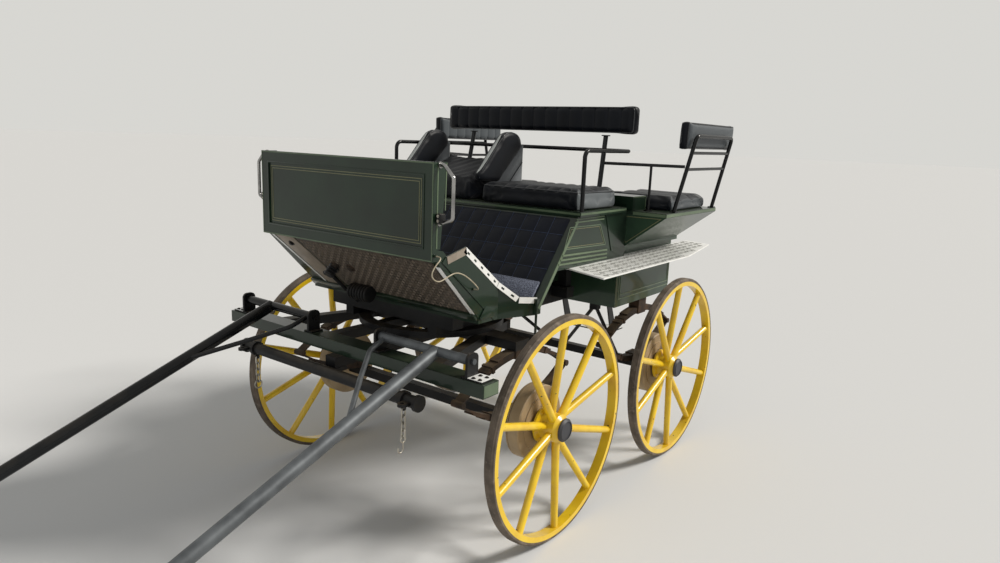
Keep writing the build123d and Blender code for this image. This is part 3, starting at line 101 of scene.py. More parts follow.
ahead = Vector((cos(CAMERA_DOWN) * cos(CAMERA_YAW), cos(CAMERA_DOWN) * sin(CAMERA_YAW),
                -sin(CAMERA_DOWN)))
level_right = Vector((sin(CAMERA_YAW), -cos(CAMERA_YAW), 0))
level_up = level_right.cross(ahead)
right = level_right * cos(CAMERA_ROLL) + level_up * sin(CAMERA_ROLL)
up = level_up * cos(CAMERA_ROLL) - level_right * sin(CAMERA_ROLL)
lens = bpy.data.cameras.new("camera")
lens.lens = FOCAL_SHARE * SENSOR
lens.sensor_width = SENSOR
camera = placed("camera", lens)
turn = Matrix((right, up, -ahead)).transposed().to_4x4()
camera.matrix_world = Matrix.Translation(CAMERA_PLACE) @ turn
bpy.context.scene.camera = camera
print("lens", round(lens.lens, 2), "mm")

# %% [markdown]
# New pieces are modelled as by hand: a primitive is added, its corners are set and it is
# shaped in edit mode. These few helpers keep the selection clean, because an operator
# works on everything that is selected.

# %% Modelling helpers
def activate(*objects):
    bpy.ops.object.select_all(action="DESELECT")
    for obj in objects:
        obj.select_set(True)
    bpy.context.view_layer.objects.active = objects[0]


def settle(obj):
    """Moves the object's place, turn and size into its mesh."""
    activate(obj)
    bpy.ops.object.transform_apply(location=True, rotation=True, scale=True)
    return obj


def modify(obj, kind, **settings):
    activate(obj)
    modifier = obj.modifiers.new(kind.title(), kind)
    for name, value in settings.items():
        setattr(modifier, name, value)
    bpy.ops.object.modifier_apply(modifier=modifier.name)
    return obj


def join(objects):
    activate(*objects)
    if len(objects) > 1:
        bpy.ops.object.join()
    return settle(bpy.context.object)


def duplicate(obj):
    """A copy with its own mesh."""
    copy = obj.copy()
    copy.data = obj.data.copy()
    bpy.context.collection.objects.link(copy)
    return copy


def copies(pattern, places):
    """Copies a pattern to each placing matrix and joins the copies."""
    made = []
    for place in places:
        copy = duplicate(pattern)
        copy.matrix_world = place @ pattern.matrix_world
        made.append(copy)
    bpy.data.objects.remove(pattern)
    return join(made)


def mirrored(obj):
    """A copy on the other side of the carriage, its mesh turned right side out."""
    copy = duplicate(obj)
    for vertex in copy.data.vertices:
        vertex.co.y = -vertex.co.y
    copy.data.flip_normals()
    return copy


def facing(point, normal, along=(0, 0, 1)):
    """A placing matrix at a point, with Z along a normal and X near a given direction."""
    z = Vector(normal).normalized()
    y = z.cross(Vector(along))
    y.normalize()
    turn = Matrix((y.cross(z), y, z)).transposed().to_4x4()
    return Matrix.Translation(point) @ turn


def outline(points, push, bevel=0.0, segments=2, rim=0.0):
    """A sheet with these corners, thickened and bevelled; a rim cuts its middle out.

    It starts as a flat circle of as many corners, which are then moved."""
    bpy.ops.mesh.primitive_circle_add(vertices=len(points), fill_type="NGON")
    obj = bpy.context.object
    for vertex, point in zip(obj.data.vertices, points):
        vertex.co = point
    bpy.ops.object.mode_set(mode="EDIT")
    bpy.ops.mesh.select_mode(type="FACE")
    bpy.ops.mesh.select_all(action="SELECT")
    if rim:
        bpy.ops.mesh.inset(thickness=rim)
        bpy.ops.mesh.delete(type="FACE")
        bpy.ops.mesh.select_all(action="SELECT")
    bpy.ops.mesh.extrude_region_move(TRANSFORM_OT_translate={"value": push})
    bpy.ops.mesh.select_all(action="SELECT")
    bpy.ops.mesh.normals_make_consistent(inside=False)
    bpy.ops.object.mode_set(mode="OBJECT")
    if bevel:
        modify(obj, "BEVEL", width=bevel, segments=segments, limit_method="ANGLE")
    return obj


def box_between(low, high, bevel=0.0, segments=2):
    low = Vector(low)
    high = Vector(high)
    corners = [Vector((x, y, low.z)) for x, y in rectangle(low.x, high.x, low.y, high.y)]
    return outline(corners, Vector((0, 0, high.z - low.z)), bevel, segments)


def strip(start_point, end_point, width, push):
    """A straight raised strip whose width lies across its run and its push."""
    start_point = Vector(start_point)
    end_point = Vector(end_point)
    push = Vector(push)
    across = (end_point - start_point).cross(push).normalized() * (width / 2)
    return outline([start_point - across, end_point - across, end_point + across,
                    start_point + across], push)


def drawn_line(name, points, radius, order=0, closed=False, rounds=2):
    """A round bar along a line of points; with an order the line is a smooth curve."""
    curve = bpy.data.curves.new(name, "CURVE")
    curve.dimensions = "3D"
    spline = curve.splines.new("NURBS" if order else "POLY")
    spline.points.add(len(points) - 1)
    for target, point in zip(spline.points, points):
        target.co = (*point, 1.0)
    spline.use_cyclic_u = closed
    if order:
        spline.order_u = order
        spline.use_endpoint_u = not closed
    curve.bevel_depth = radius
    curve.bevel_resolution = rounds
    curve.use_fill_caps = True
    return placed(name, curve)


def tube(points, radius, order=0, closed=False, rounds=2):
    """The same bar as a mesh."""
    activate(drawn_line("tube", points, radius, order, closed, rounds))
    bpy.ops.object.convert(target="MESH")
    return bpy.context.object


HARD = 35.0
SOFT = 60.0


def piece(obj, name, material, body="chassis", angle=HARD):
    """Names a finished piece, gives it its material and lets it ride on its body."""
    settle(obj)
    obj.name = name
    obj.data.name = name
    obj.data.materials.clear()
    obj.data.materials.append(material)
    bpy.ops.object.shade_smooth_by_angle(angle=radians(angle))
    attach(obj, body)
    return obj


def pair(obj, name, material, body="chassis", angle=HARD):
    """A piece for the left side and its mirror copy for the right."""
    settle(obj)
    other = mirrored(obj)
    piece(obj, f"{name}_left", material, body, angle)
    piece(other, f"{name}_right", material, body, angle)


# %% [markdown]
# Every colour is written as it is seen, as an sRGB hex value, and turned to linear light
# in one place. One function adds a node with its settings and links, and a material
# starts from one short call.

# %% Material helpers
def linear(code):
    """An sRGB hex colour as linear light."""
    channels = [int(code[i:i + 2], 16) / 255 for i in (1, 3, 5)]
    light = [c / 12.92 if c <= 0.04045 else ((c + 0.055) / 1.055) ** 2.4 for c in channels]
    return (*light, 1.0)


def add(tree, kind, settings=None, inputs=None):
    """Adds a node, with its settings, and with each input linked or set."""
    node = tree.nodes.new(kind)
    for name, value in (settings or {}).items():
        setattr(node, name, value)
    for key, value in (inputs or {}).items():
        if isinstance(value, bpy.types.NodeSocket):
            tree.links.new(value, node.inputs[key])
        else:
            node.inputs[key].default_value = value
    return node


def start(name, **values):
    """A new material; each value goes to the shader socket of that name."""
    material = bpy.data.materials.new(name)
    material.use_nodes = True
    tree = material.node_tree
    shader = tree.nodes["Principled BSDF"]
    for key, value in values.items():
        shader.inputs[key.replace("_", " ")].default_value = value
    coords = add(tree, "ShaderNodeTexCoord").outputs["Object"]
    return material, tree, shader, coords


def work_out(tree, operation, *values):
    """One sum of the values, such as MULTIPLY."""
    return add(tree, "ShaderNodeMath", {"operation": operation}, dict(enumerate(values))).outputs[0]


def stretch(tree, value, low, high, bottom=0.0, top=1.0):
    """Maps a value between low and high to one between bottom and top."""
    limits = {"Value": value, "From Min": low, "From Max": high, "To Min": bottom, "To Max": top}
    return add(tree, "ShaderNodeMapRange", inputs=limits).outputs["Result"]


def one_axis(tree, vector, axis):
    return add(tree, "ShaderNodeSeparateXYZ", inputs={0: vector}).outputs[axis]


def normal_of(tree):
    return add(tree, "ShaderNodeNewGeometry").outputs["Normal"]


def noise(tree, coords, scale, detail):
    settings = {"Vector": coords, "Scale": scale, "Detail": detail}
    return add(tree, "ShaderNodeTexNoise", inputs=settings).outputs["Fac"]


def blotches(tree, coords, scale, low, high, detail=4.0):
    """A soft mask of irregular patches: 0 below low, 1 above high."""
    return stretch(tree, noise(tree, coords, scale, detail), low, high)


def tint(tree, mask, first, second):
    """Blends two colours by a mask; either can be a hex code or another blend."""
    first, second = [value if isinstance(value, bpy.types.NodeSocket) else linear(value)
                     for value in (first, second)]
    mix = add(tree, "ShaderNodeMix", {"data_type": "RGBA"}, {0: mask, 6: first, 7: second})
    return mix.outputs[2]


def colour(tree, shader, source):
    tree.links.new(source, shader.inputs["Base Color"])


def relief(tree, shader, height, strength, depth, coat=False):
    """Turns a height into bump of a real depth in metres."""
    inputs = {"Height": height, "Strength": strength, "Distance": depth}
    bump = add(tree, "ShaderNodeBump", inputs=inputs)
    tree.links.new(bump.outputs["Normal"], shader.inputs["Normal"])
    if coat:
        tree.links.new(bump.outputs["Normal"], shader.inputs["Coat Normal"])


def dusted(tree, coords, amount, under, dust):
    """Lays dust over a colour, in patches, where a face looks up."""
    top = stretch(tree, one_axis(tree, normal_of(tree), "Z"), 0.2, 1.0, top=amount)
    patches = blotches(tree, coords, 14.0, 0.3, 0.7)
    return tint(tree, work_out(tree, "MULTIPLY", top, patches), under, dust)


ROAD_DUST = "#6f6250"


def weathered(name, tones, patches, grain=None, dust=0.0, dust_colour=ROAD_DUST, chips=None,
              coat=False, **values):
    """Two tones in patches, dust on top, chips through both, and a fine grain.

    Patches are a scale and two limits, the grain a scale, a detail, a strength and a depth."""
    material, tree, shader, coords = start(name, **values)
    look = tint(tree, blotches(tree, coords, *patches), *tones)
    if dust:
        look = dusted(tree, coords, dust, look, dust_colour)
    if chips:
        look = tint(tree, blotches(tree, coords, 60.0, 0.70, 0.715, 6.0), look, chips)
    colour(tree, shader, look)
    if grain:
        scale, detail, strength, depth = grain
        relief(tree, shader, noise(tree, coords, scale, detail), strength, depth * MM, coat)
    return material


# %% [markdown]
# Coach paint is enamel brushed on in many coats and flatted between them: a dark green
# that is nearly black, under a clear gloss that mirrors the ground. The tub behind has a
# livelier green. A lighter green is laid on the mouldings, and along edges that catch the
# light it is a painted highlight. The yellow of the wheels is a thicker single coat, a
# little duller, and chipped where stones hit it.

# %% Paints
def coach_paint(name, main, lighter, roughness, dust, coat):
    return weathered(name, (main, lighter), (5.0, 0.35, 0.7), (45.0, 3.0, 0.12, 0.4), dust,
                     "#8d8470", coat=True, Roughness=roughness, Specular_IOR_Level=0.2,
                     Coat_Weight=coat, Coat_Roughness=0.07, Coat_IOR=1.5)


coach_green = coach_paint("coach_green_enamel", "#142218", "#1b2f20", 0.35, 0.1, 0.4)
tub_green = coach_paint("tub_green_enamel", "#24382a", "#2f4633", 0.35, 0.1, 0.4)
edge_green = coach_paint("edge_green_enamel", "#4e5d48", "#67775e", 0.4, 0.15, 0.25)
line_gold = coach_paint("lining_gold_enamel", "#66674b", "#797a5c", 0.4, 0.0, 0.2)
wheel_yellow = weathered("wheel_yellow_enamel", ("#edc81c", "#d9ae12"), (11.0, 0.4, 0.75),
                         (90.0, 4.0, 0.25, 0.4), 0.25, "#a08a58", "#3a3024", coat=True,
                         Roughness=0.34, Coat_Weight=0.4, Coat_Roughness=0.15)
print("paints", [m.name for m in (coach_green, tub_green, edge_green, line_gold, wheel_yellow)])

# %% [markdown]
# The running gear is black painted steel that road dust has turned brown on top. The
# springs were painted once and are rusty now, the brake drums are bare cast iron, and
# the left shaft is a galvanised tube where the right one is painted. Dust has made the
# drums and the plates behind them beige, but not the hub's steel cap and the axle beam,
# which the distance from the carriage's middle tells apart.

# %% Metals
BLACK_TONES = ("#0f1012", "#1a1a1a")
BLACK_PATCHES = (18.0, 0.4, 0.7)
DRUM_TONES = ("#ab9676", "#8a775c")
DRUM_PATCHES = (9.0, 0.35, 0.75)
CAP_TONES = ("#34353a", "#34353a")
CAP_START = 0.688
PLATE_START = 0.515


def road_steel(name, main, worn, dust, roughness, dust_colour=ROAD_DUST):
    return weathered(name, (main, worn), BLACK_PATCHES, (260.0, 5.0, 0.35, 0.3), dust,
                     dust_colour, Roughness=roughness, Specular_IOR_Level=0.25)


def bare_metal(name, main, darker, roughness, scratches, metallic=1.0):
    """Bare metal with fine scratches and a few dull patches."""
    return weathered(name, (main, darker), (20.0, 0.35, 0.75), (scratches, 6.0, 0.3, 0.15),
                     Metallic=metallic, Roughness=roughness)


def wheel_end(name, border, inner, outer, dust, **values):
    """Metal in two finishes, with their border this far from the carriage's middle."""
    material, tree, shader, coords = start(name, **values)
    side = work_out(tree, "ABSOLUTE", one_axis(tree, coords, "Y"))
    zones = [tint(tree, blotches(tree, coords, *patches), *tones)
             for tones, patches in (inner, outer)]
    look = tint(tree, work_out(tree, "GREATER_THAN", side, border), *zones)
    colour(tree, shader, dusted(tree, coords, dust, look, ROAD_DUST))
    relief(tree, shader, noise(tree, coords, 160.0, 5.0), 0.4, 0.5 * MM)
    return material


black_steel = road_steel("dusty_black_steel", *BLACK_TONES, 0.32, 0.45)
rail_black = road_steel("rail_black_enamel", "#0a0c0e", "#121416", 0.12, 0.22)
spring_rust = road_steel("rusty_spring_steel", "#2b241f", "#4b3a2d", 0.6, 0.7, "#80705a")
bright_metal = bare_metal("rolled_aluminium", "#f4f4f2", "#e6e6e2", 0.45, 400.0, 0.15)
# Painted shade: the steps' tread bars are greyer than the bright plate, for the shade on their
# flanks.
shaded_step_bars = bare_metal("shaded_step_tread_bars", "#a2a29d", "#868681", 0.4, 400.0, 0.4)
dull_metal = bare_metal("weathered_aluminium", "#9c9184", "#857a6d", 0.5, 300.0, 0.4)
# Painted light on the toe board: bars lighter as painted highlights, plate dark brown as painted
# shade with a painted reflection of the ground.
lit_toe_bars = bare_metal("highlit_toe_tread_bars", "#7a6e61", "#5d5348", 0.5, 300.0, 0.4)
shaded_toe_plate = bare_metal("shaded_toe_tread_plate", "#413b34", "#665b4f", 0.5, 300.0, 0.4)
zinc = bare_metal("zinc_plated_steel", "#b4b0a6", "#8e8a80", 0.38, 500.0)
galvanised = bare_metal("galvanised_tube", "#63676a", "#484b4e", 0.5, 180.0, 0.6)
handle_metal = bare_metal("polished_handle_steel", "#a9a8a6", "#6b6a6a", 0.2, 200.0)
hub_metal = wheel_end("dusty_drum_iron", CAP_START, (DRUM_TONES, DRUM_PATCHES),
                      (CAP_TONES, DRUM_PATCHES), 0.0, Roughness=0.55)
plated_axle = wheel_end("dusty_axle_steel", PLATE_START, (BLACK_TONES, BLACK_PATCHES),
                        (DRUM_TONES, DRUM_PATCHES), 0.32, Roughness=0.5, Specular_IOR_Level=0.25)
print("metals", [m.name for m in (black_steel, spring_rust, bright_metal, galvanised, hub_metal)])

# %% [markdown]
# The tyres are solid rubber, turned on a lathe, so fine ridges run round the tread. The
# seats are black leatherette, a PVC skin on cloth with a printed grain and a soft shine;
# where a side faces left or right it is painted grey, a painted sheen of the sun on it.
# The riser is the same skin in navy, quilted in squares, and the floor has a grey carpet.

# %% Rubber, leatherette and carpet
TYRE_RIDGE = 9 * MM


def ridged_rubber():
    material, tree, shader, coords = start("ridged_rubber", Roughness=0.75,
                                           Specular_IOR_Level=0.35)
    worn = tint(tree, blotches(tree, coords, 16.0, 0.35, 0.7), "#51483f", "#73675a")
    colour(tree, shader, tint(tree, blotches(tree, coords, 40.0, 0.55, 0.85), worn, "#8a7e70"))
    phase = work_out(tree, "MULTIPLY", one_axis(tree, coords, "Y"), 2 * pi / TYRE_RIDGE)
    relief(tree, shader, work_out(tree, "SINE", phase), 0.5, 0.8 * MM)
    return material


def leatherette(name, main, lighter, roughness, gloss=0.3, sides=None):
    """Printed PVC skin; with a colour for the sides, the faces to left and right get it as a
    painted sheen.
    """
    material, tree, shader, coords = start(name, Roughness=roughness, Specular_IOR_Level=gloss,
                                           Sheen_Weight=0.08, Sheen_Roughness=0.4)
    skin = tint(tree, blotches(tree, coords, 8.0, 0.35, 0.7), main, lighter)
    if sides:
        # Painted sheen: faces that look left or right blend to the sides colour, as if lit by the
        # sun.
        turned = work_out(tree, "ABSOLUTE", one_axis(tree, normal_of(tree), "Y"))
        skin = tint(tree, stretch(tree, turned, 0.55, 0.85), skin, sides)
    colour(tree, shader, dusted(tree, coords, 0.06, skin, "#5d5a55"))
    grain = add(tree, "ShaderNodeTexVoronoi", inputs={"Vector": coords, "Scale": 520.0})
    folds = noise(tree, coords, 26.0, 3.0)
    height = work_out(tree, "MULTIPLY_ADD", grain.outputs["Distance"], 0.25, folds)
    relief(tree, shader, height, 0.45, 1.2 * MM)
    return material


def tufted_carpet():
    material, tree, shader, coords = start("tufted_grey_carpet", Roughness=0.95,
                                           Specular_IOR_Level=0.1)
    flecks = noise(tree, coords, 330.0, 2.0)
    colour(tree, shader, tint(tree, stretch(tree, flecks, 0.4, 0.62), "#4a4f5e", "#9aa0b2"))
    relief(tree, shader, flecks, 0.9, 3 * MM)
    return material


BLACK_SKIN = ("#070a10", "#0c1018", 0.45, 0.16)
tyre_rubber = ridged_rubber()
bellows_rubber = road_steel("bellows_rubber", "#0b0c0d", "#151515", 0.2, 0.6)
black_leather = leatherette("black_leatherette", *BLACK_SKIN)
# Painted sheen: the back pads, the bench cushion and the side cushions are grey on their faces to
# left and right.
pad_leather = leatherette("back_pad_leatherette", *BLACK_SKIN, "#4f5458")
bench_leather = leatherette("bench_cushion_leatherette", *BLACK_SKIN, "#5f6467")
side_leather = leatherette("side_cushion_leatherette", "#0c0f15", "#14181f", 0.45, 0.2, "#44494d")
grey_leather = leatherette("grey_leatherette", "#6a6e72", "#7c8084", 0.5)
navy_leather = leatherette("navy_leatherette", "#070b15", "#0c1220", 0.5, 0.15)
piping_vinyl = leatherette("piping_vinyl", "#2b2d30", "#3a3c40", 0.3, 0.5)
pale_boxing = leatherette("pale_boxing_leatherette", "#b4b8b6", "#c6cac8", 0.4)
seam_thread = leatherette("seam_thread", "#333f58", "#414e6a", 0.7)
floor_carpet = tufted_carpet()
sheath = weathered("cream_wire_sheath", ("#bdb29c", "#958a73"), (40.0, 0.3, 0.7), Roughness=0.5)
print("soft finishes ready")

# %% [markdown]
# The finish of every solid is chosen by the start of its name, as a painter would work
# through the carriage: wheels, running gear, body, seats. What isn't listed is green.

# %% Finishes
FINISHES = (
    (wheel_yellow, ("wheel_",)),
    (tyre_rubber, ("tyre_",)),
    (hub_metal, ("hub_",)),
    (spring_rust, ("front_spring", "rear_spring")),
    (plated_axle, ("front_axle", "rear_axle")),
    (black_steel, ("shaft_brackets", "swingletree", "fore_frame", "turntable", "chassis_frame",
                   "rear_step")),
    (galvanised, ("shaft_left",)),
    (rail_black, ("shaft_right", "bench_rails", "back_rest")),
    (zinc, ("trace_chains", "door_hinges")),
    (handle_metal, ("dash_handles",)),
    (bright_metal, ("side_step",)),
    (tub_green, ("rear_tub",)),
    (sheath, ("cable_wire",)))


def finish_of(name):
    for material, beginnings in FINISHES:
        if name.startswith(beginnings):
            return material
    return coach_green


for name, obj in nodes.items():
    for index in range(len(obj.material_slots)):
        obj.material_slots[index].material = finish_of(name)
print("finished solids", len(nodes))

# %% [markdown]
# A thin wire hangs loose from the dash to the left cheek. It is a free cord: its route
# repeats the points of the construction, and a smooth spline runs through between them.

# %% Loose wire
WIRE_DIAMETER = 4.4 * MM
WIRE_POINTS = [at(x, y, z) for x, y, z in (
    (1.552, 0.4705, 1.152), (1.552, 0.488, 1.152), (1.563, 0.499, 1.145), (1.590, 0.500, 1.127),
    (1.607, 0.498, 1.100), (1.590, 0.498, 1.079), (1.563, 0.498, 1.071), (1.527, 0.498, 1.083),
    (1.484, 0.498, 1.094), (1.440, 0.497, 1.080), (1.405, 0.499, 1.057), (1.376, 0.500, 1.034),
    (1.359, 0.497, 1.020), (1.350, 0.486, 1.012), (1.350, 0.4705, 1.012))]
wire = drawn_line("loose_wire", WIRE_POINTS, WIRE_DIAMETER / 2, order=3, rounds=3)
wire.data.splines[0].resolution_u = 8
wire.data.materials.append(sheath)
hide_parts("cable_wire")
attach(wire, "chassis")
print("wire points", len(WIRE_POINTS))

# %% [markdown]
# The cushions are sewn covers over foam. Each starts as a blank a little smaller than
# its solid, is remeshed to an even skin and blown up by a short cloth simulation, so
# that it crowns and its sides pull in between the corners. The seams come afterwards.

# %% Cushion helpers
VOXEL = 6 * MM
CLOTH_FRAMES = 18
PRESSURE = 4.0
INSET = 7 * MM
PINNED_HEIGHT = 3 * MM


def swell(obj, cap, floor=None):
    """Blows a blank up as filled cloth, with no point moving further than the cap.

    With a floor, the points near that height are held."""
    modify(obj, "REMESH", mode="VOXEL", voxel_size=VOXEL)
    rest = [vertex.co.copy() for vertex in obj.data.vertices]
    held = [] if floor is None else [i for i, point in enumerate(rest)
                                     if point.z < floor + PINNED_HEIGHT]
    group = obj.vertex_groups.new(name="held")
    group.add(held, 1.0, "REPLACE")
    cloth = obj.modifiers.new("Cloth", "CLOTH")
    cloth.settings.use_pressure = True
    cloth.settings.uniform_pressure_force = PRESSURE
    cloth.settings.effector_weights.gravity = 0.0
    cloth.settings.vertex_group_mass = group.name
    cloth.point_cache.frame_start = 1
    cloth.point_cache.frame_end = CLOTH_FRAMES
    for number in range(1, CLOTH_FRAMES + 1):
        bpy.context.scene.frame_set(number)
    activate(obj)
    bpy.ops.object.modifier_apply(modifier=cloth.name)
    bpy.context.scene.frame_set(1)
    for vertex, start_point in zip(obj.data.vertices, rest):
        way = vertex.co - start_point
        if way.length > cap:
            vertex.co = start_point + way.normalized() * cap
    obj.vertex_groups.clear()
    modify(obj, "SMOOTH", factor=0.5, iterations=3)
    return modify(obj, "SUBSURF", levels=1, render_levels=1)


def press(obj, height):
    """Moves every point along its normal by a height worked out from its place and normal."""
    moves = [vertex.normal * height(vertex.co, vertex.normal) for vertex in obj.data.vertices]
    for vertex, move in zip(obj.data.vertices, moves):
        vertex.co += move


def channel(distance, pitch, depth):
    """The height of sewn channels: nothing between two seams, and a sharp valley at each."""
    return -depth * (1 - abs(sin(pi * distance / pitch)) ** 0.45)


def rising(value, low, high):
    """A smooth step from 0 at low to 1 at high."""
    share = min(max((value - low) / (high - low), 0.0), 1.0)
    return share * share * (3 - 2 * share)


def keep_inside(obj, node, spare):
    """Holds a soft piece in the box of its solid, with a little spare for fabric."""
    low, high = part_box(node)
    for vertex in obj.data.vertices:
        for axis in range(3):
            vertex.co[axis] = min(max(vertex.co[axis], low[axis] - spare), high[axis] + spare)


def shrunk(node, by, foot=0.0):
    """The solid's box made smaller on every side; a foot lowers its bottom again."""
    low, high = extent(node)
    step = Vector((by, by, by))
    low += step
    low.z -= foot
    return low, high - step


def upholstered(obj, name, node, material=black_leather):
    piece(obj, name, material, angle=SOFT)
    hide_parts(node)


def upholstered_pair(obj, name, node, material):
    for side, cushion in (("left", obj), ("right", mirrored(obj))):
        upholstered(cushion, f"{name}_{side}", f"{node}_{side}", material)


def sewn_cord(cushion, line, radius=2.2 * MM):
    """Piping: a line near a cushion is pulled onto its surface and becomes a round cord."""
    bpy.context.view_layer.update()
    laid = []
    for point in line:
        _, place, normal, _ = cushion.closest_point_on_mesh(point)
        laid.append(place + normal * (radius * 0.4))
    return tube(laid, radius, order=3, closed=True)


def rounded_ring(low, high, corner):
    """Points round a rectangle with rounded corners, as pairs of two coordinates."""
    inner = rectangle(high[0] - corner, low[0] + corner, high[1] - corner, low[1] + corner)
    ring = []
    for (a, b), first in zip(inner, (0, 90, 180, 270)):
        for angle in [radians(first + step * 30) for step in range(4)]:
            ring.append((a + corner * cos(angle), b + corner * sin(angle)))
    return ring


# %% [markdown]
# The back bar is one long bolster across the carriage, sewn in sixteen upright channels
# on the side that the driver leans on and on the side that the passengers see.

# %% Back bar
BAR_CHANNELS = 16
BAR_RAISED = 6 * MM
bar_low, bar_high = shrunk("back_bar", 5 * MM)
bar_high.z += BAR_RAISED
BAR_PITCH = (bar_high.y - bar_low.y) / BAR_CHANNELS


def bar_height(point, normal):
    return channel(point.y - bar_low.y, BAR_PITCH, 7 * MM) * rising(abs(normal.x), 0.35, 0.8)


bar = swell(box_between(bar_low, bar_high, 18 * MM, 4), 5 * MM)
press(bar, bar_height)
keep_inside(bar, "back_bar", 7 * MM)
upholstered(bar, "back_bolster", "back_bar")
bar_ring = rounded_ring((bar_low.y + 5 * MM, bar_low.z + 5 * MM),
                        (bar_high.y - 5 * MM, bar_high.z - 5 * MM), 18 * MM)
for side, x in (("front", bar_high.x - 3 * MM), ("rear", bar_low.x + 3 * MM)):
    cord = sewn_cord(bar, [Vector((x, y, z)) for y, z in bar_ring])
    piece(cord, f"back_bolster_piping_{side}", piping_vinyl, angle=SOFT)
print("back bar channels", BAR_CHANNELS, "pitch", round(BAR_PITCH, 3))

# %% [markdown]
# The passenger's place on the driver's bench is a box cushion with shallow channels from
# front to back. The driver sits on a higher wedge, high behind and low in front, whose
# cover has crept into folds.

# %% Bench cushions
BENCH_CHANNELS = 9
bench_low, bench_high = shrunk("bench_cushion", INSET, INSET)
BENCH_PITCH = (bench_high.y - bench_low.y) / BENCH_CHANNELS


def bench_height(point, normal):
    folds = sin((point.y * 55 + point.z * 90) + 2 * sin(point.y * 17)) * 1.0 * MM
    creases = channel(point.y - bench_low.y + 0.012 * sin(point.x * 14), BENCH_PITCH, 7 * MM)
    return creases * rising(normal.z, 0.2, 0.7) + folds * rising(normal.x, 0.4, 0.8)


bench = swell(box_between(bench_low, bench_high, 18 * MM, 4), 9 * MM, bench_low.z)
press(bench, bench_height)
keep_inside(bench, "bench_cushion", 4 * MM)
upholstered(bench, "bench_seat_cushion", "bench_cushion", material=bench_leather)
bench_ring = rounded_ring((bench_low.x, bench_low.y), (bench_high.x, bench_high.y), 20 * MM)
cord = sewn_cord(bench, [Vector((x, y, bench_high.z)) for x, y in bench_ring])
piece(cord, "bench_seat_piping", piping_vinyl, angle=SOFT)

WEDGE_FRONT_HEIGHT = 80 * MM
wedge_low, wedge_high = shrunk("driver_cushion", INSET, INSET)
wedge_side = [(wedge_low.x, wedge_low.z), (wedge_high.x, wedge_low.z),
              (wedge_high.x, wedge_low.z + WEDGE_FRONT_HEIGHT), (wedge_low.x, wedge_high.z)]


def wedge_height(point, normal):
    along = point.y * 0.8 + point.x * 0.6
    folds = sin(along * 115 + 1.5 * sin(point.x * 21)) * 1.3 * MM
    return folds * rising(normal.z, 0.2, 0.7)


wedge = outline([Vector((x, wedge_low.y, z)) for x, z in wedge_side],
                Vector((0, wedge_high.y - wedge_low.y, 0)), 18 * MM, 4)
wedge = swell(wedge, 10 * MM, wedge_low.z)
press(wedge, wedge_height)
keep_inside(wedge, "driver_cushion", 4 * MM)
upholstered(wedge, "driver_wedge_cushion", "driver_cushion")
print("bench cushions done")

# %% [markdown]
# A padded wing stands on each side of the driver's wedge. It leans back with the
# driver's hips: a fat black bolster with a round top and a pale boxing strip down its
# front, and behind it a thin grey gusset that holds it up. A dark cord across the gusset
# is a painted shadow of a rail.

# %% Seat wings
BOLSTER = ((0.592, 1.330), (0.736, 1.342), (0.748, 1.372), (0.660, 1.468), (0.572, 1.560),
           (0.532, 1.575), (0.488, 1.577), (0.447, 1.565), (0.420, 1.537), (0.414, 1.498))
GUSSET = ((0.409, 1.515), (0.409, 1.262), (0.640, 1.262), (0.640, 1.330), (0.600, 1.345))
GUSSET_THICK = 14 * MM
GUSSET_SHADOW_LINE = ((0.411, 1.43), (0.56, 1.29))
GUSSET_RIM = ((0.411, 1.27), (0.411, 1.51))
BOXING_LOW = (0.742, 1.382)
BOXING_HIGH = (0.566, 1.564)
BOXING_WIDTH = 27 * MM
BOXING_START = 8 * MM
WING_GAP = 5 * MM


def boxing_strip(bolster, y, name):
    """A pale strip, widest in its middle, that lies on the bolster's leaning front."""
    bpy.ops.mesh.primitive_grid_add(x_subdivisions=14, y_subdivisions=4, size=1.0)
    ribbon = bpy.context.object
    for vertex in ribbon.data.vertices:
        share = vertex.co.x + 0.5
        width = BOXING_WIDTH * max(sin(pi * share), 0.02) ** 0.6
        x = BOXING_LOW[0] + (BOXING_HIGH[0] - BOXING_LOW[0]) * share
        z = BOXING_LOW[1] + (BOXING_HIGH[1] - BOXING_LOW[1]) * share
        vertex.co = at(x + BOXING_START, y - vertex.co.y * width, z + BOXING_START)
    modify(ribbon, "SHRINKWRAP", target=bolster, offset=1.0 * MM)
    modify(ribbon, "SOLIDIFY", thickness=1.2 * MM, offset=-1.0)
    piece(ribbon, name, pale_boxing, angle=SOFT)


def seat_wing(node, name):
    low, high = extent(node)
    points = [at(x, low.y + WING_GAP, z) for x, z in BOLSTER]
    blank = outline(points, Vector((0, high.y - low.y - 2 * WING_GAP, 0)), 9 * MM, 3)
    bolster = swell(blank, 6 * MM)
    keep_inside(bolster, node, 5 * MM)
    upholstered(bolster, f"{name}_bolster", node)
    middle_y = (low.y + high.y) / 2
    boxing_strip(bolster, middle_y, f"{name}_boxing")
    for side, y in (("left", high.y), ("right", low.y)):
        cord = sewn_cord(bolster, [at(x, y, z) for x, z in BOLSTER], 1.8 * MM)
        piece(cord, f"{name}_piping_{side}", piping_vinyl, angle=SOFT)
    inner_y = middle_y + 2 * MM
    gusset = outline([at(x, inner_y, z) for x, z in GUSSET], Vector((0, GUSSET_THICK, 0)), 4 * MM)
    piece(gusset, f"{name}_gusset", grey_leather)
    # Painted shadow: a dark cord across the gusset where a rail's shadow falls.
    seam = [at(x, inner_y + GUSSET_THICK, z) for x, z in GUSSET_SHADOW_LINE]
    piece(tube(seam, 2.5 * MM), f"{name}_gusset_shadow_line", black_leather)
    rim = [at(x, inner_y + GUSSET_THICK - 1 * MM, z) for x, z in GUSSET_RIM]
    piece(tube(rim, 2.0 * MM), f"{name}_gusset_rim", pale_boxing)


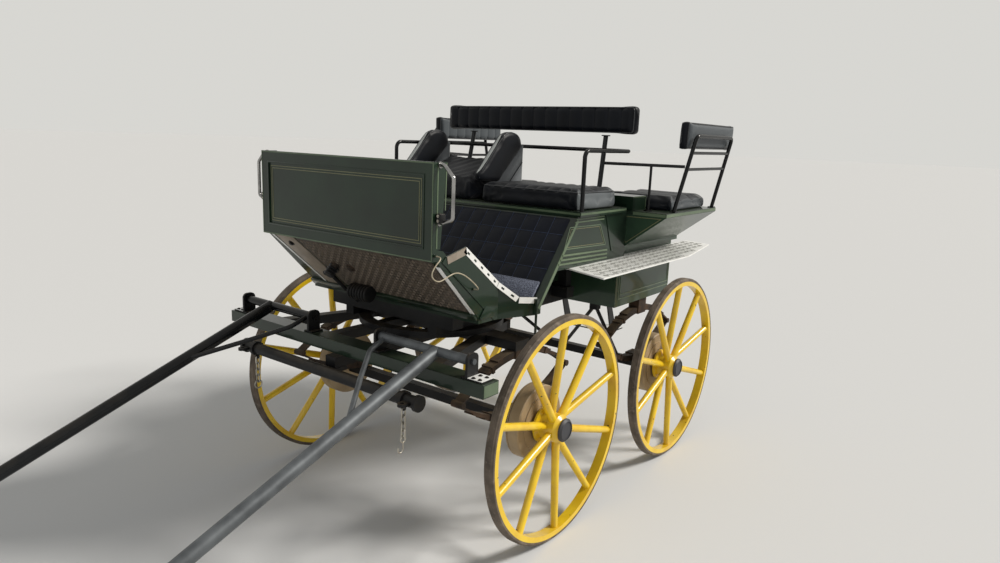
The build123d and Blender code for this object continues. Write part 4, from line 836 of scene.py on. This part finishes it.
seat_wing("seat_wing_inner", "inner_wing")
seat_wing("seat_wing_outer", "outer_wing")
print("seat wings done")

# %% [markdown]
# The side benches have flat cushions in three lobes, and their back rests are short
# boxed pads, nearly upright, whose tops stand a little further out than their feet. Left
# and right are alike, so each is made once and mirrored.

# %% Side cushions and back pads
LOBES = 3
PAD_LEAN = 5 * MM
PAD_CHANNELS = 8
side_low, side_high = shrunk("side_cushion_left", INSET, INSET)
LOBE_PITCH = (side_high.x - side_low.x) / LOBES
pad_low, pad_high = shrunk("back_pad_left", 5 * MM)
PAD_PITCH = (pad_high.x - pad_low.x) / PAD_CHANNELS


def lobe_height(point, normal):
    crease = channel(point.x - side_low.x + 0.02 * sin(point.y * 9), LOBE_PITCH, 9 * MM)
    return crease * rising(normal.z, 0.1, 0.7)


def pad_height(point, normal):
    return channel(point.x - pad_low.x, PAD_PITCH, 6 * MM) * rising(-normal.y, 0.35, 0.8)


side_cushion = swell(box_between(side_low, side_high, 16 * MM, 4), 12 * MM, side_low.z)
press(side_cushion, lobe_height)
keep_inside(side_cushion, "side_cushion_left", 6 * MM)
upholstered_pair(side_cushion, "side_bench_cushion", "side_cushion", side_leather)

pad_end = [(pad_low.y, pad_low.z), (pad_high.y - PAD_LEAN, pad_low.z),
           (pad_high.y, pad_high.z), (pad_low.y + PAD_LEAN, pad_high.z)]
back_pad = outline([Vector((pad_low.x, y, z)) for y, z in pad_end],
                   Vector((pad_high.x - pad_low.x, 0, 0)), 12 * MM, 3)
back_pad = swell(back_pad, 5 * MM)
press(back_pad, pad_height)
keep_inside(back_pad, "back_pad_left", 1 * MM)
upholstered_pair(back_pad, "back_rest_pad", "back_pad", pad_leather)
pad_ring = rounded_ring((pad_low.x, pad_low.z), (pad_high.x, pad_high.z), 14 * MM)
for side, y in (("outer", pad_high.y), ("inner", pad_low.y)):
    cord = sewn_cord(back_pad, [Vector((x, y, z)) for x, z in pad_ring], 2 * MM)
    pair(cord, f"back_pad_piping_{side}", piping_vinyl, angle=SOFT)
print("side seats done")

# %% [markdown]
# The riser under the bench is quilted in fourteen by five cells. A grid is laid on the
# sloping board and each square swells a little between its seams, which carry stitches.

# %% Quilted riser
QUILT_COLUMNS = 14
QUILT_ROWS = 5
QUILT_STEPS = 6
QUILT_BASE = 4 * MM
QUILT_DEPTH = 4 * MM
QUILT_HALF = 0.5
MARGIN = 12 * MM
CARPET_FOOT = -0.008
CARPET_TOP = 0.103
CARPET_HALF = 0.495
riser_foot = at(1.037, 0, 0.896)
riser_head = at(0.765, 0, 1.236)
riser_way = (riser_head - riser_foot).normalized()
riser_out = Vector((riser_way.z, 0, -riser_way.x))
riser_length = (riser_head - riser_foot).length - 2 * MARGIN


def on_riser(y, along, off):
    return riser_foot + riser_way * (MARGIN + along) + riser_out * off + Vector((0, y, 0))


bpy.ops.mesh.primitive_grid_add(x_subdivisions=QUILT_COLUMNS * QUILT_STEPS,
                                y_subdivisions=QUILT_ROWS * QUILT_STEPS, size=1.0)
quilt = bpy.context.object
for vertex in quilt.data.vertices:
    across = vertex.co.x + 0.5
    along = vertex.co.y + 0.5
    puff = (abs(sin(pi * across * QUILT_COLUMNS)) * abs(sin(pi * along * QUILT_ROWS))) ** 0.35
    within = min(across, 1 - across, along, 1 - along) > 0.001
    off = (QUILT_BASE + QUILT_DEPTH * puff) if within else 1 * MM
    vertex.co = on_riser((across * 2 - 1) * QUILT_HALF, along * riser_length, off)
modify(quilt, "SUBSURF", levels=1, render_levels=1)
piece(quilt, "quilted_riser", navy_leather, angle=80)
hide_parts("riser_panel")

stitch_lines = []
for column in range(1, QUILT_COLUMNS):
    y = (column / QUILT_COLUMNS * 2 - 1) * QUILT_HALF
    stitch_lines.append(((y, 0.0), (y, riser_length)))
for row in range(1, QUILT_ROWS):
    along = row / QUILT_ROWS * riser_length
    stitch_lines.append(((-QUILT_HALF, along), (QUILT_HALF, along)))
threads = [tube([on_riser(*end, 4.8 * MM) for end in line], 1.0 * MM, rounds=1)
           for line in stitch_lines]
piece(join(threads), "riser_stitching", seam_thread)
carpet = box_between(at(1.052, -0.455, 0.8963), at(1.304, 0.455, 0.903), 2 * MM)
piece(carpet, "footwell_carpet", floor_carpet)
upstand = [on_riser(y, along, 0.5 * MM)
           for y, along in rectangle(-CARPET_HALF, CARPET_HALF, CARPET_FOOT, CARPET_TOP)]
piece(outline(upstand, riser_out * 11 * MM, 2 * MM), "riser_carpet", floor_carpet)
print("quilt", QUILT_COLUMNS, "by", QUILT_ROWS)

# %% [markdown]
# Tread plate is rolled aluminium with clusters of five short bars, each cluster at a
# right angle to its neighbours. One bar is modelled and copied five times into a
# cluster, and the clusters are laid on the sheet wherever they fit inside its edge.

# %% Tread plate
STEP_PITCH = 38 * MM
TOE_PITCH = 19 * MM
BAR_HEIGHT = 1.4 * MM
BARS = 5
STEP_TOP = 1.030
REAR_STEP_TOP = 0.476
SIDE_STEP = [(0.806, 0.534), (0.884, 0.731), (0.071, 0.731), (-0.405, 0.645), (-0.44, 0.504),
             (0.336, 0.504), (0.336, 0.534)]
REAR_STEP = rectangle(-0.418, -0.272, -0.168, 0.168)


def cluster(pitch):
    """Five low bars side by side, each narrower at its top."""
    size = (pitch * 0.68, pitch * 0.085, BAR_HEIGHT)
    bpy.ops.mesh.primitive_cube_add(size=1.0, scale=size)
    bar = settle(bpy.context.object)
    for vertex in bar.data.vertices:
        if vertex.co.z > 0:
            vertex.co.x *= 0.8
            vertex.co.y *= 0.55
    return copies(bar, [Matrix.Translation((0, (i - 2) * pitch * 0.17, 0)) for i in range(BARS)])


def inside(point, corners):
    """Whether a flat point lies inside a ring of corners."""
    x, y = point
    hit = False
    for (ax, ay), (bx, by) in zip(corners, corners[1:] + corners[:1]):
        if (ay > y) != (by > y) and x < (bx - ax) * (y - ay) / (by - ay) + ax:
            hit = not hit
    return hit


def tread(corners, place, pitch):
    """Lays clusters over a flat shape; place turns its two coordinates into a matrix."""
    reach = pitch * 0.42
    x0, y0 = [min(values) for values in zip(*corners)]
    x1, y1 = [max(values) for values in zip(*corners)]
    places = []
    for column in range(int((x1 - x0) / pitch) + 2):
        for row in range(int((y1 - y0) / pitch) + 2):
            x = x0 + (column + 0.5) * pitch
            y = y0 + (row + 0.5) * pitch
            if all(inside((x + dx, y + dy), corners)
                   for dx in (-reach, reach) for dy in (-reach, reach)):
                spin = radians(45 if (column + row) % 2 else -45)
                places.append(place(x, y) @ Matrix.Rotation(spin, 4, "Z"))
    return copies(cluster(pitch), places)


def level(height):
    """Places on a level sheet at this height."""
    return lambda x, y: Matrix.Translation(at(x, y, height))


# The bars carry painted shade, greyer than the sheet they stand on.
pair(tread(SIDE_STEP, level(STEP_TOP), STEP_PITCH), "side_step_tread", shaded_step_bars)
rear_sheet = outline([at(x, y, REAR_STEP_TOP + 0.1 * MM) for x, y in REAR_STEP],
                     Vector((0, 0, 0.9 * MM)))
piece(rear_sheet, "rear_step_sheet", bright_metal)
rear_tread = tread(REAR_STEP, level(REAR_STEP_TOP + 1 * MM), STEP_PITCH)
piece(rear_tread, "rear_step_tread", shaded_step_bars)
print("tread bars laid")

# %% [markdown]
# The sloping underside of the toe board is sheathed with the same plate, painted dark
# brown: painted shade under the board, with the ground mirrored in it as a painted
# reflection, and its bars lighter as painted highlights. A flat strip with two bolts and a
# narrow bright one hold its right edge, another narrow one its left edge, and a dark green
# beam runs along the bottom.

# %% Toe board sheathing
toe_foot = at(1.309, 0, 0.896)
toe_head = at(1.541, 0, 1.131)
toe_way = (toe_head - toe_foot).normalized()
toe_out = Vector((toe_way.z, 0, -toe_way.x))
toe_length = (toe_head - toe_foot).length
TOE_TOP = toe_length - 0.003
TOE_GAP = 0.2 * MM
SHEET = 1.2 * MM
PLATE_TOP = (-0.297, 0.436, TOE_TOP)
PLATE_FOOT = (-0.226, 0.436, 0.03)
TOE_STRIPS = (
    ("side_strip", (-0.414, -0.303, TOE_TOP), (-0.342, -0.231, 0.004), 4, 0.8, dull_metal),
    ("outer_strip", (-0.442, -0.430, TOE_TOP), (-0.366, -0.354, 0.004), 3, 0.8, bright_metal),
    ("edge_strip", (0.440, 0.459, toe_length - 0.03), (0.440, 0.459, 0.002), 3, 0.8, bright_metal),
    ("foot_beam", (-0.46, 0.46, 0.028), (-0.46, 0.46, -0.004), 12, 2, coach_green))


def on_toe(y, along, off):
    return toe_foot + toe_way * along + toe_out * off + Vector((0, y, 0))


def on_board(y, along, off):
    """A placing matrix on the toe board, for what stands out from it."""
    return facing(on_toe(y, along, off), toe_out, toe_way)


def slanted_ring(top, foot):
    """A plate with slanting sides; top and foot each give two y and a height up the board."""
    return [(foot[0], foot[2]), (foot[1], foot[2]), (top[1], top[2]), (top[0], top[2])]


def toe_sheet(top, foot, thick, bevel=0.0):
    corners = [on_toe(y, along, TOE_GAP) for y, along in slanted_ring(top, foot)]
    return outline(corners, toe_out * thick, bevel)


def bolts(radius, places):
    """Hexagon heads on washers."""
    bpy.ops.mesh.primitive_cylinder_add(vertices=20, radius=radius * 1.5, depth=radius * 0.3,
                                        location=(0, 0, radius * 0.15))
    washer = settle(bpy.context.object)
    bpy.ops.mesh.primitive_cylinder_add(vertices=6, radius=radius, depth=radius * 0.7,
                                        location=(0, 0, radius * 0.6))
    head = modify(bpy.context.object, "BEVEL", width=radius * 0.1, segments=1)
    return copies(join([washer, settle(head)]), places)


# Painted shade and reflection on the toe plate, painted highlights on its bars.
piece(toe_sheet(PLATE_TOP, PLATE_FOOT, SHEET), "toe_plate", shaded_toe_plate)
toe_tread = tread(slanted_ring(PLATE_TOP, PLATE_FOOT),
                  lambda y, along: on_board(y, along, SHEET + 0.5 * MM), TOE_PITCH)
piece(toe_tread, "toe_plate_tread", lit_toe_bars)
for name, top, foot, thick, bevel, material in TOE_STRIPS:
    piece(toe_sheet(top, foot, thick * MM, bevel * MM), f"toe_{name}", material)
toe_bolts = [on_board(y, along, 4 * MM) for y, along in ((-0.348, 0.286), (-0.300, 0.098))]
piece(bolts(9 * MM, toe_bolts), "toe_strip_bolts", black_steel)
pedal_bolts = [on_board(y, 0.18, SHEET) for y in (-0.172, -0.080)]
piece(bolts(13 * MM, pedal_bolts), "pedal_bolts", spring_rust)
print("toe board length", round(toe_length, 3))

# %% [markdown]
# The brake's hydraulic pipe leaves the footwell through a ribbed rubber bellows at the
# board's foot. One rib is a thin round disc with a soft edge, and seven of them stand on
# a core.

# %% Rubber bellows
RIBS = 7
RIB_RADIUS = 33 * MM
RIB_PITCH = 16 * MM
CORE_HALF = 3.2 * RIB_PITCH
bpy.ops.mesh.primitive_cylinder_add(vertices=28, radius=RIB_RADIUS, depth=RIB_PITCH * 0.7)
rib = modify(bpy.context.object, "BEVEL", width=4 * MM, segments=3, limit_method="ANGLE")
bellows_middle = on_toe(-0.100, 0.050, RIB_RADIUS - 2 * MM)
rib_places = [facing(bellows_middle + Vector((0, (i - 3) * RIB_PITCH, 0)), (0, 1, 0))
              for i in range(RIBS)]
ribs = copies(rib, rib_places)
core_ends = [bellows_middle + Vector((0, y, 0)) for y in (-CORE_HALF, CORE_HALF)]
core = tube(core_ends, RIB_RADIUS * 0.7, rounds=5)
piece(join([ribs, core]), "pedal_bellows", bellows_rubber)
print("bellows ribs", RIBS)

# %% [markdown]
# Each cheek beside the footwell is a bent sheet. A bright slotted strip is riveted along
# its top edge, and a duller plate covers the corner in front. The slots are really cut,
# so the dark paint shows through them.

# %% Cheek strips
CHEEK_FACE = 0.4655
CHEEK_BEND = 1.200
FLARE_START = 0.163
FLARE = 0.068
BAND_WIDTH = 22 * MM
BAND_THICK = 2 * MM
SLOT = rectangle(-8 * MM, 8 * MM, -4 * MM, 4 * MM)
UPPER_BAND = ((1.395, 1.167), (1.201, 1.0175))
LOWER_BAND = ((1.199, 1.016), (1.116, 0.953))
FOOT_BAND = ((1.114, 0.952), (1.040, 0.9445))
CORNER_BAND = ((1.495, 1.143), (1.396, 1.1665))
FOOT_COVER = ((1.201, 0.889), (1.300, 0.889), (1.306, 0.898), (1.275, 0.936), (1.201, 0.918))


def on_cheek(x, z, off=0.0):
    spread = max(CHEEK_BEND - x, 0.0) / FLARE_START * FLARE
    return at(x, CHEEK_FACE + spread + off, z)


def cheek_band(top_line, width):
    """A strip that hangs below a line on the cheek, which runs from front to rear."""
    (ax, az), (bx, bz) = top_line
    run = Vector((bx - ax, 0, bz - az)).normalized()
    down = Vector((-run.z, 0, run.x))
    lower = [(x + down.x * width, z + down.z * width) for x, z in reversed(top_line)]
    return outline([on_cheek(x, z) for x, z in (*top_line, *lower)], Vector((0, BAND_THICK, 0)))


def slotted_band(top_line, count):
    """The same strip with slots cut through it."""
    band = cheek_band(top_line, BAND_WIDTH)
    start_point, end_point = [Vector((x, 0, z)) for x, z in top_line]
    way = (end_point - start_point).normalized()
    down = Vector((-way.z, 0, way.x))
    slots = []
    for index in range(count):
        centre = start_point.lerp(end_point, (index + 0.5) / count) + down * (BAND_WIDTH * 0.5)
        corners = [centre + way * a + down * b for a, b in SLOT]
        slots.append(outline([on_cheek(point.x, point.z, -2 * MM) for point in corners],
                             Vector((0, 8 * MM, 0))))
    cutter = join(slots)
    modify(band, "BOOLEAN", object=cutter, operation="DIFFERENCE", solver="EXACT")
    bpy.data.objects.remove(cutter)
    return band


bands = join([slotted_band(UPPER_BAND, 5), slotted_band(LOWER_BAND, 2)])
pair(bands, "cheek_slotted_strip", bright_metal)
pair(cheek_band(FOOT_BAND, 24 * MM), "cheek_foot_strip", bright_metal)
pair(cheek_band(CORNER_BAND, 26 * MM), "cheek_corner_plate", dull_metal)
cover = [on_cheek(x, z, 0.2 * MM) for x, z in FOOT_COVER]
pair(outline(cover, Vector((0, 1.2 * MM, 0)), 0.4 * MM), "cheek_foot_cover", coach_green)
print("cheek strips done")

# %% [markdown]
# The dash has a sunk field. A round bead runs round it, then two fine lining lines, and
# the outer edges carry a lighter green line, a painted highlight. Lines like these were
# pulled by hand with a long brush; here they are raised by less than a millimetre.

# %% Dash mouldings
DASH_FACE = 1.5634
FIELD_FACE = 1.5594
DASH_SIDE = 0.4622


def dash_frame(name, material, x, y_half, z0, z1, width, rise, bevel=0.0):
    """A raised frame on a face of the dash."""
    corners = [at(x, y, z) for y, z in rectangle(-y_half, y_half, z0, z1)]
    frame_line = outline(corners, Vector((rise * MM, 0, 0)), bevel * MM, rim=width * MM)
    piece(frame_line, name, material)


def side_strips(name, material, side, rise, lines):
    """Raised strips on a side face; each line has a width and two ends."""
    strips = [strip(at(ax, side, az), at(bx, side, bz), width * MM, (0, rise * MM, 0))
              for width, (ax, az), (bx, bz) in lines]
    pair(join(strips), name, material)


dash_frame("dash_bead", coach_green, DASH_FACE - 0.5 * MM, 0.423, 1.170, 1.419, 6, 3, 1.2)
for index, inset in enumerate((10 * MM, 19 * MM)):
    dash_frame(f"dash_lining_{index}", line_gold, FIELD_FACE, 0.417 - inset, 1.176 + inset,
               1.413 - inset, 2.6, 0.9)
# Painted highlights: lighter green lines along the dash's outer edges and down its side flange.
dash_frame("dash_edge_highlight", edge_green, DASH_FACE, 0.461, 1.132, 1.457, 4, 0.7)
side_strips("dash_flange_edge", edge_green, DASH_SIDE, 0.8,
            [(5, (1.5435, 1.175), (1.5435, 1.455)), (4, (1.505, 1.30), (1.502, 1.455))])
clamp = box_between(at(1.527, 0.4624, 1.262), at(1.553, 0.486, 1.292), 3 * MM)
pair(clamp, "handle_clamp", black_steel)
clamp_bolts = [facing(at(1.553, 0.474, z), (1, 0, 0)) for z in (1.269, 1.285)]
pair(bolts(3.5 * MM, clamp_bolts), "handle_clamp_bolts", zinc)
print("dash mouldings done")

# %% [markdown]
# The side of the seat box carries a louvre, a lined panel and three mouldings that step
# down to the side step. Two raised frames run round the side of the well behind it, and
# a line follows the triangle under the bench's front corner.

# %% Body mouldings
BOX_SIDE = 0.5302
WELL_SIDE = 0.5002
TUB_FRONT = 0.3362
PANEL = [(0.822, 1.198), (0.576, 1.193), (0.520, 1.102), (0.858, 1.112)]
INNER_PANEL = [(0.812, 1.190), (0.584, 1.186), (0.536, 1.110), (0.842, 1.119)]
GUSSET_CORNERS = ((0.452, 1.214), (0.702, 1.217), (0.534, 1.092))
STEP_DROPS = (0.0, 0.017, 0.034)


def closed_line(width, points):
    """Lines of this width round a ring of points."""
    return [(width, *ends) for ends in zip(points, points[1:] + points[:1])]


louvre = [(5, (0.548, z), (0.80 - (z - 1.2) * 0.8, z)) for z in (1.216, 1.228)]
steps = [(7, (0.870 + drop * 0.8, 1.088 - drop), (0.505, 1.077 - drop)) for drop in STEP_DROPS]
side_strips("seat_box_louvre", edge_green, BOX_SIDE, 3, louvre)
side_strips("seat_box_panel_line", edge_green, BOX_SIDE, 1.2, closed_line(4, PANEL))
side_strips("seat_box_inner_line", line_gold, BOX_SIDE, 0.8, closed_line(2.4, INNER_PANEL))
side_strips("seat_box_bands", edge_green, BOX_SIDE, 4, steps)
side_strips("seat_box_post", coach_green, BOX_SIDE, 3, [(9, (0.530, 1.233), (0.462, 1.070))])
side_strips("riser_edge", edge_green, 0.5303, 1.2, [(15, (0.762, 1.222), (1.022, 0.897))])
for index, sides in enumerate(((-0.236, 0.293, 0.832, 1.006), (-0.249, 0.309, 0.812, 1.018))):
    corners = [at(x, WELL_SIDE, z) for x, z in rectangle(*sides)]
    line = outline(corners, Vector((0, 1.6 * MM, 0)), 0.5 * MM, rim=6 * MM)
    pair(line, f"well_line_{index}", edge_green)
corners = [at(TUB_FRONT, y, z) for y, z in GUSSET_CORNERS]
pair(outline(corners, Vector((0.8 * MM, 0, 0)), rim=3 * MM), "gusset_lining", line_gold)
print("body mouldings done")

# %% [markdown]
# Board edges catch the light: the front edge of the driver's board, the lip of the side
# benches and the corner of the locker. Each gets a thin lighter strip, a painted highlight.

# %% Board edges
BOARD_Z = 1.249
BENCH_Z = 1.231
EDGE_RISE = (0.9 * MM, 0, 0)
# Painted highlights: thin lighter green strips along the board edges.
board_front = strip(at(0.7702, -0.543, BOARD_Z), at(0.7702, 0.543, BOARD_Z), 9 * MM, EDGE_RISE)
piece(board_front, "seat_board_front_edge", edge_green)
side_strips("seat_board_side_edge", edge_green, 0.5452, 0.9,
            [(9, (0.374, BOARD_Z), (0.768, BOARD_Z))])
side_strips("side_bench_lip", edge_green, 0.7222, 0.9,
            [(14, (-0.248, BENCH_Z), (0.334, BENCH_Z))])
bench_front = strip(at(0.3359, 0.56, BENCH_Z), at(0.3359, 0.72, BENCH_Z), 14 * MM, EDGE_RISE)
pair(bench_front, "side_bench_front_lip", edge_green)
side_strips("locker_edge", edge_green, 0.5502, 0.8,
            [(4, (0.1955, 1.242), (0.1955, 1.301)), (4, (0.195, 1.3005), (0.322, 1.3005))])
print("board edges done")

# %% [markdown]
# The splinter bar's ends are cut square and painted a brighter green. A bright plate with
# four dark bolts holds the foot of each bracket.

# %% Splinter bar fittings
BAR_END = 0.7002
PIVOT = 1.535
PLATE_FLOOR = 0.771
PLATE_RISE = 1.5 * MM
PLATE_SIDES = (1.497, 1.563, 0.6265, 0.6875)
end_low, end_high = shrunk("splinter_bar", 3 * MM)
end_corners = [Vector((x, BAR_END, z))
               for x, z in rectangle(end_low.x, end_high.x, end_low.z, end_high.z)]
pair(outline(end_corners, Vector((0, 1 * MM, 0))), "splinter_bar_end", edge_green, "fore_carriage")
foot_plate = outline([at(x, y, PLATE_FLOOR + 0.1 * MM) for x, y in rectangle(*PLATE_SIDES)],
                     Vector((0, 0, PLATE_RISE)))
pair(foot_plate, "bracket_foot_plate", bright_metal, "fore_carriage")
pad_bolts = [facing(at(PIVOT + dx, y, PLATE_FLOOR + PLATE_RISE), (0, 0, 1), (1, 0, 0))
             for dx in (-18 * MM, 18 * MM) for y in (0.6440, 0.6710)]
pair(bolts(5 * MM, pad_bolts), "bracket_bolts", black_steel, "fore_carriage")
print("splinter bar fittings done")

# %% [markdown]
# The rear door and the panels beside it are not seen in front, and are lined in the same
# way as the rest of the body, with raised frames.

# %% Rear panels
REAR_FACE = -0.2502


def frame_on_rear(y0, y1, z0, z1):
    corners = [at(REAR_FACE, y, z) for z, y in rectangle(z0, z1, y0, y1)]
    return outline(corners, Vector((-1.4 * MM, 0, 0)), rim=4 * MM)


door_lines = [frame_on_rear(-0.150, 0.220, 0.85, 1.20), frame_on_rear(-0.138, 0.208, 0.862, 1.188)]
piece(join(door_lines), "door_lining", line_gold, "door")
pair(frame_on_rear(0.300, 0.470, 0.82, 1.05), "rear_panel_lining", line_gold)
print("rear panels done")

# %% [markdown]
# A photographer's room: a pale floor that runs to the horizon and a broad soft sun from
# behind the carriage's left side, where it stood, with a weak lamp by the camera. What
# the camera and the gloss see of the room is brighter than the light that it gives.

# %% Floor and light
FLOOR_SIZE = 240.0
ROOM_LIGHT = 0.42
ROOM_SEEN = 0.8
SUN_WAY = Vector((1.0, -1.15, -1.2))
FILL_TARGET = Vector((0, 0, 0.8))

bpy.ops.mesh.primitive_plane_add(size=FLOOR_SIZE)
ground = bpy.context.object
ground.name = "studio_floor"
floor_material, _, floor_shader, _ = start("studio_floor", Roughness=0.9, Specular_IOR_Level=0.1)
floor_shader.inputs["Base Color"].default_value = linear("#d9dadb")
ground.data.materials.append(floor_material)

world = bpy.data.worlds.new("studio")
bpy.context.scene.world = world
world.use_nodes = True
world_tree = world.node_tree
background = world_tree.nodes["Background"]
background.inputs["Color"].default_value = linear("#eeede8")
rays = add(world_tree, "ShaderNodeLightPath").outputs
seen = work_out(world_tree, "MAXIMUM", rays["Is Camera Ray"], rays["Is Transmission Ray"])
mirrored_too = work_out(world_tree, "MAXIMUM", seen, rays["Is Glossy Ray"])
brightness = stretch(world_tree, mirrored_too, 0.0, 1.0, ROOM_LIGHT, ROOM_SEEN)
world_tree.links.new(brightness, background.inputs["Strength"])

sun_light = bpy.data.lights.new("broad_sun", "SUN")
sun_light.energy = 3.2
sun_light.angle = radians(14)
sun_light.color = linear("#fffaf2")[:3]
sun = placed("broad_sun", sun_light)
sun.rotation_euler = SUN_WAY.to_track_quat("-Z", "Y").to_euler()

fill_light = bpy.data.lights.new("camera_side", "AREA")
fill_light.shape = "DISK"
fill_light.size = 3.0
fill_light.energy = 18.0
fill_light.color = linear("#eef3ff")[:3]
fill = placed("camera_side", fill_light)
fill.location = (4.5, 1.5, 3.2)
fill.rotation_euler = (FILL_TARGET - fill.location).to_track_quat("-Z", "Y").to_euler()
bpy.context.scene.view_settings.view_transform = "Standard"
print("lamps", len(bpy.data.lights))
